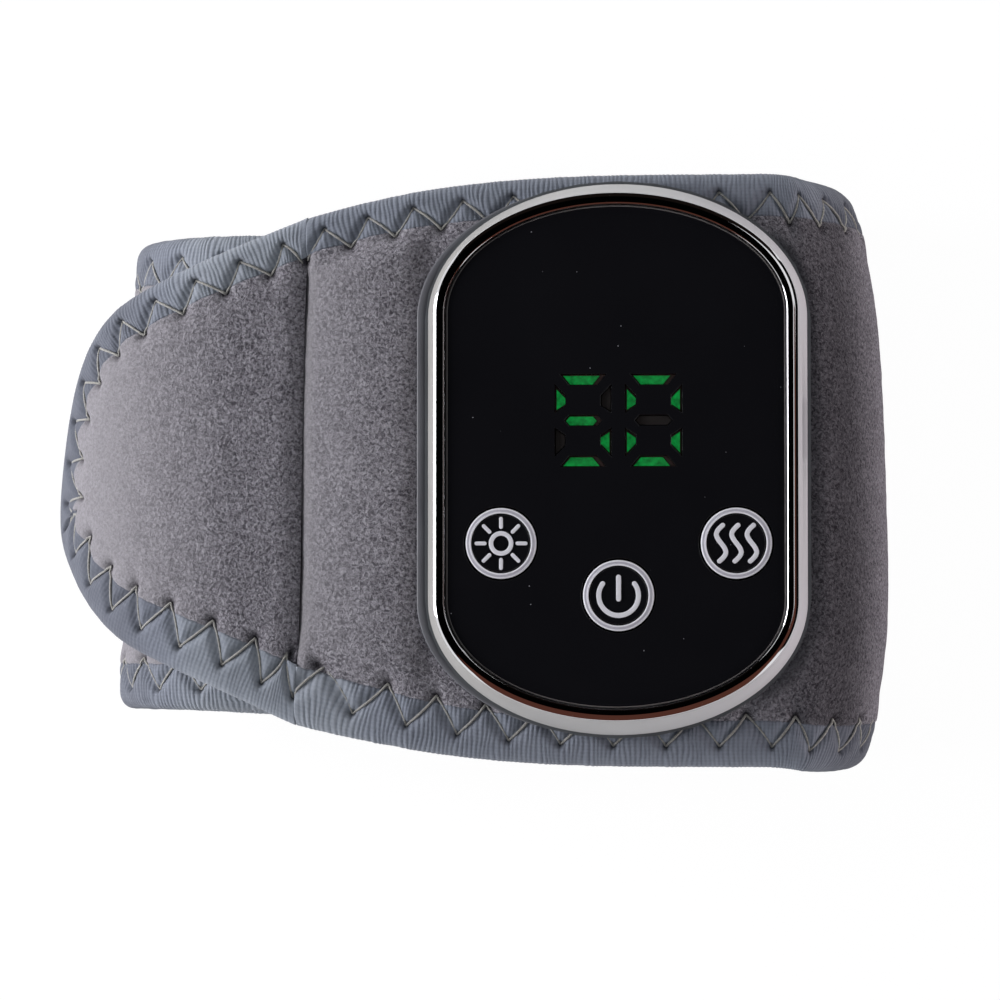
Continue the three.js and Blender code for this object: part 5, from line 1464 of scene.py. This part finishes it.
# Camera and light
# A long lens looks down on the closed wrap from half a metre. A soft light stands low on the left, with
# weaker ones on the other sides, and the unit's panel and bezel mirror dark cards above them.
camera_place, camera_aim = Vector((11.7, -20.6, 524.0)) * MM, Vector((-16.53, -5.63, 44.0)) * MM
sensor, focal, far_limit = 36.0, 123.2, 10
lamp_aim, card_aim = Vector((0, 0, 0.03)), Vector((0, 0, 0.05))
camera_data = bpy.data.cameras.new("camera")
camera_data.sensor_width = sensor
camera_data.lens = focal
camera_data.clip_end = far_limit
camera = bpy.data.objects.new("camera", camera_data)
bpy.context.scene.collection.objects.link(camera)
bpy.context.scene.camera = camera
toward = (camera_place - camera_aim).normalized()
across = Vector((0, 1, 0)).cross(toward).normalized()
upright = toward.cross(across)
turned_camera = Matrix((across, upright, toward)).transposed().to_4x4()
camera.matrix_world = Matrix.Translation(camera_place) @ turned_camera


def seen_directly(tree):
    """1 for a ray from the camera, from a mirror or through glass, and 0 for one that lights a surface."""
    rays = add(tree, "LightPath").outputs
    seen = add(tree, "Math", {0: rays["Is Camera Ray"], 1: rays["Is Glossy Ray"]}, operation="MAXIMUM")
    seen = add(tree, "Math", {0: seen.outputs[0], 1: rays["Is Transmission Ray"]}, operation="MAXIMUM")
    return seen.outputs[0]


def white_floor(tree):
    """Matt white paint, rolled on: as good as even."""
    where = add(tree, "TexCoord").outputs["Object"]
    even = add(tree, "TexNoise", {"Vector": where, "Scale": 3.0})
    tone = add(tree, "Mix", {"Factor": even.outputs["Fac"], "A": linear("#f6f6f6"), "B": linear("#fafafa")},
               data_type="RGBA")
    return {"Base Color": tone.outputs["Result"], "Roughness": 0.9}


floor_bm = bmesh.new()
bmesh.ops.create_grid(floor_bm, x_segments=1, y_segments=1, size=4)
floor = finished(floor_bm, "floor")
floor_paint = surface("white_paint", white_floor)
tree = floor_paint.node_tree
output = next(n for n in tree.nodes if n.type == "OUTPUT_MATERIAL")
painted = output.inputs["Surface"].links[0].from_socket
glow = add(tree, "Emission", {"Color": (1, 1, 1, 1), "Strength": 1.035})
part_glow = add(tree, "MixShader", {0: 0.93, 1: painted, 2: glow.outputs[0]})
mixed = add(tree, "MixShader", {0: seen_directly(tree), 1: painted, 2: part_glow.outputs[0]})
tree.links.new(mixed.outputs[0], output.inputs["Surface"])
floor.data.materials.append(floor_paint)

world = bpy.data.worlds.new("studio")
bpy.context.scene.world = world
world.use_nodes = True
sky = world.node_tree
sky.nodes.clear()
soft = add(sky, "Background", {"Color": linear("#e6e9f2"), "Strength": 0.26})
white = add(sky, "Background", {"Color": (1, 1, 1, 1), "Strength": 1.0})
both = add(sky, "MixShader", {0: seen_directly(sky), 1: soft.outputs[0], 2: white.outputs[0]})
add(sky, "OutputWorld", {"Surface": both.outputs[0]})


def lamp(name, place, size, power, tone, mirrored=False):
    """A soft rectangular lamp, in metres and watts, aimed at the middle of the wrap."""
    data = bpy.data.lights.new(name, "AREA")
    data.shape = "RECTANGLE"
    data.size, data.size_y = size
    data.energy = power
    data.color = linear(tone)[:3]
    made = bpy.data.objects.new(name, data)
    bpy.context.scene.collection.objects.link(made)
    made.location = place
    made.rotation_euler = (lamp_aim - Vector(place)).to_track_quat("-Z", "Y").to_euler()
    made.visible_glossy = mirrored


lamp("window_left", (-0.52, 0.03, 0.178), (0.30, 0.29), 3.1, "#fcfaff", mirrored=True)
lamp("fill_right", (0.60, -0.05, 0.13), (0.25, 0.30), 1.75, "#fff1f3")
lamp("fill_front", (0.02, -0.62, 0.16), (0.30, 0.2), 0.75, "#ffffff")
lamp("fill_back", (0.02, 0.62, 0.16), (0.30, 0.2), 1.1, "#ffffff")


def card(name, place, size, tone):
    """A black or brown card beside or over the set, in metres. It is seen only in reflections."""
    bm = bmesh.new()
    bmesh.ops.create_grid(bm, x_segments=1, y_segments=1, size=0.5)
    bmesh.ops.scale(bm, vec=(*size, 1), verts=bm.verts[:])
    turn = (card_aim - Vector(place)).to_track_quat("Z", "Y").to_matrix()
    bmesh.ops.rotate(bm, matrix=turn, verts=bm.verts[:])
    bmesh.ops.translate(bm, vec=place, verts=bm.verts[:])
    made = finished(bm, name, smooth_faces=False)
    paint = bpy.data.materials.new(name)
    paint.use_nodes = True
    paint.node_tree.nodes.clear()
    glow = add(paint.node_tree, "Emission", {"Color": linear(tone), "Strength": 1.0})
    add(paint.node_tree, "OutputMaterial", {"Surface": glow.outputs[0]})
    made.data.materials.append(paint)
    made.visible_camera = made.visible_diffuse = made.visible_shadow = made.visible_transmission = False


card("card_above", (-0.25, -0.02, 0.85), (2.6, 1.5), "#020202")
card("card_right", (0.55, -0.29, 0.72), (0.9, 0.5), "#5a352b")
card("card_low_right", (0.85, 0.05, 0.28), (1.3, 0.8), "#0d0c0c")
card("card_front", (0.0, -0.6, 0.42), (1.1, 1.1), "#5a352b")
card("card_back", (0.0, 0.85, 0.42), (1.9, 0.9), "#16110f")
bpy.context.scene.view_settings.view_transform = "Standard"
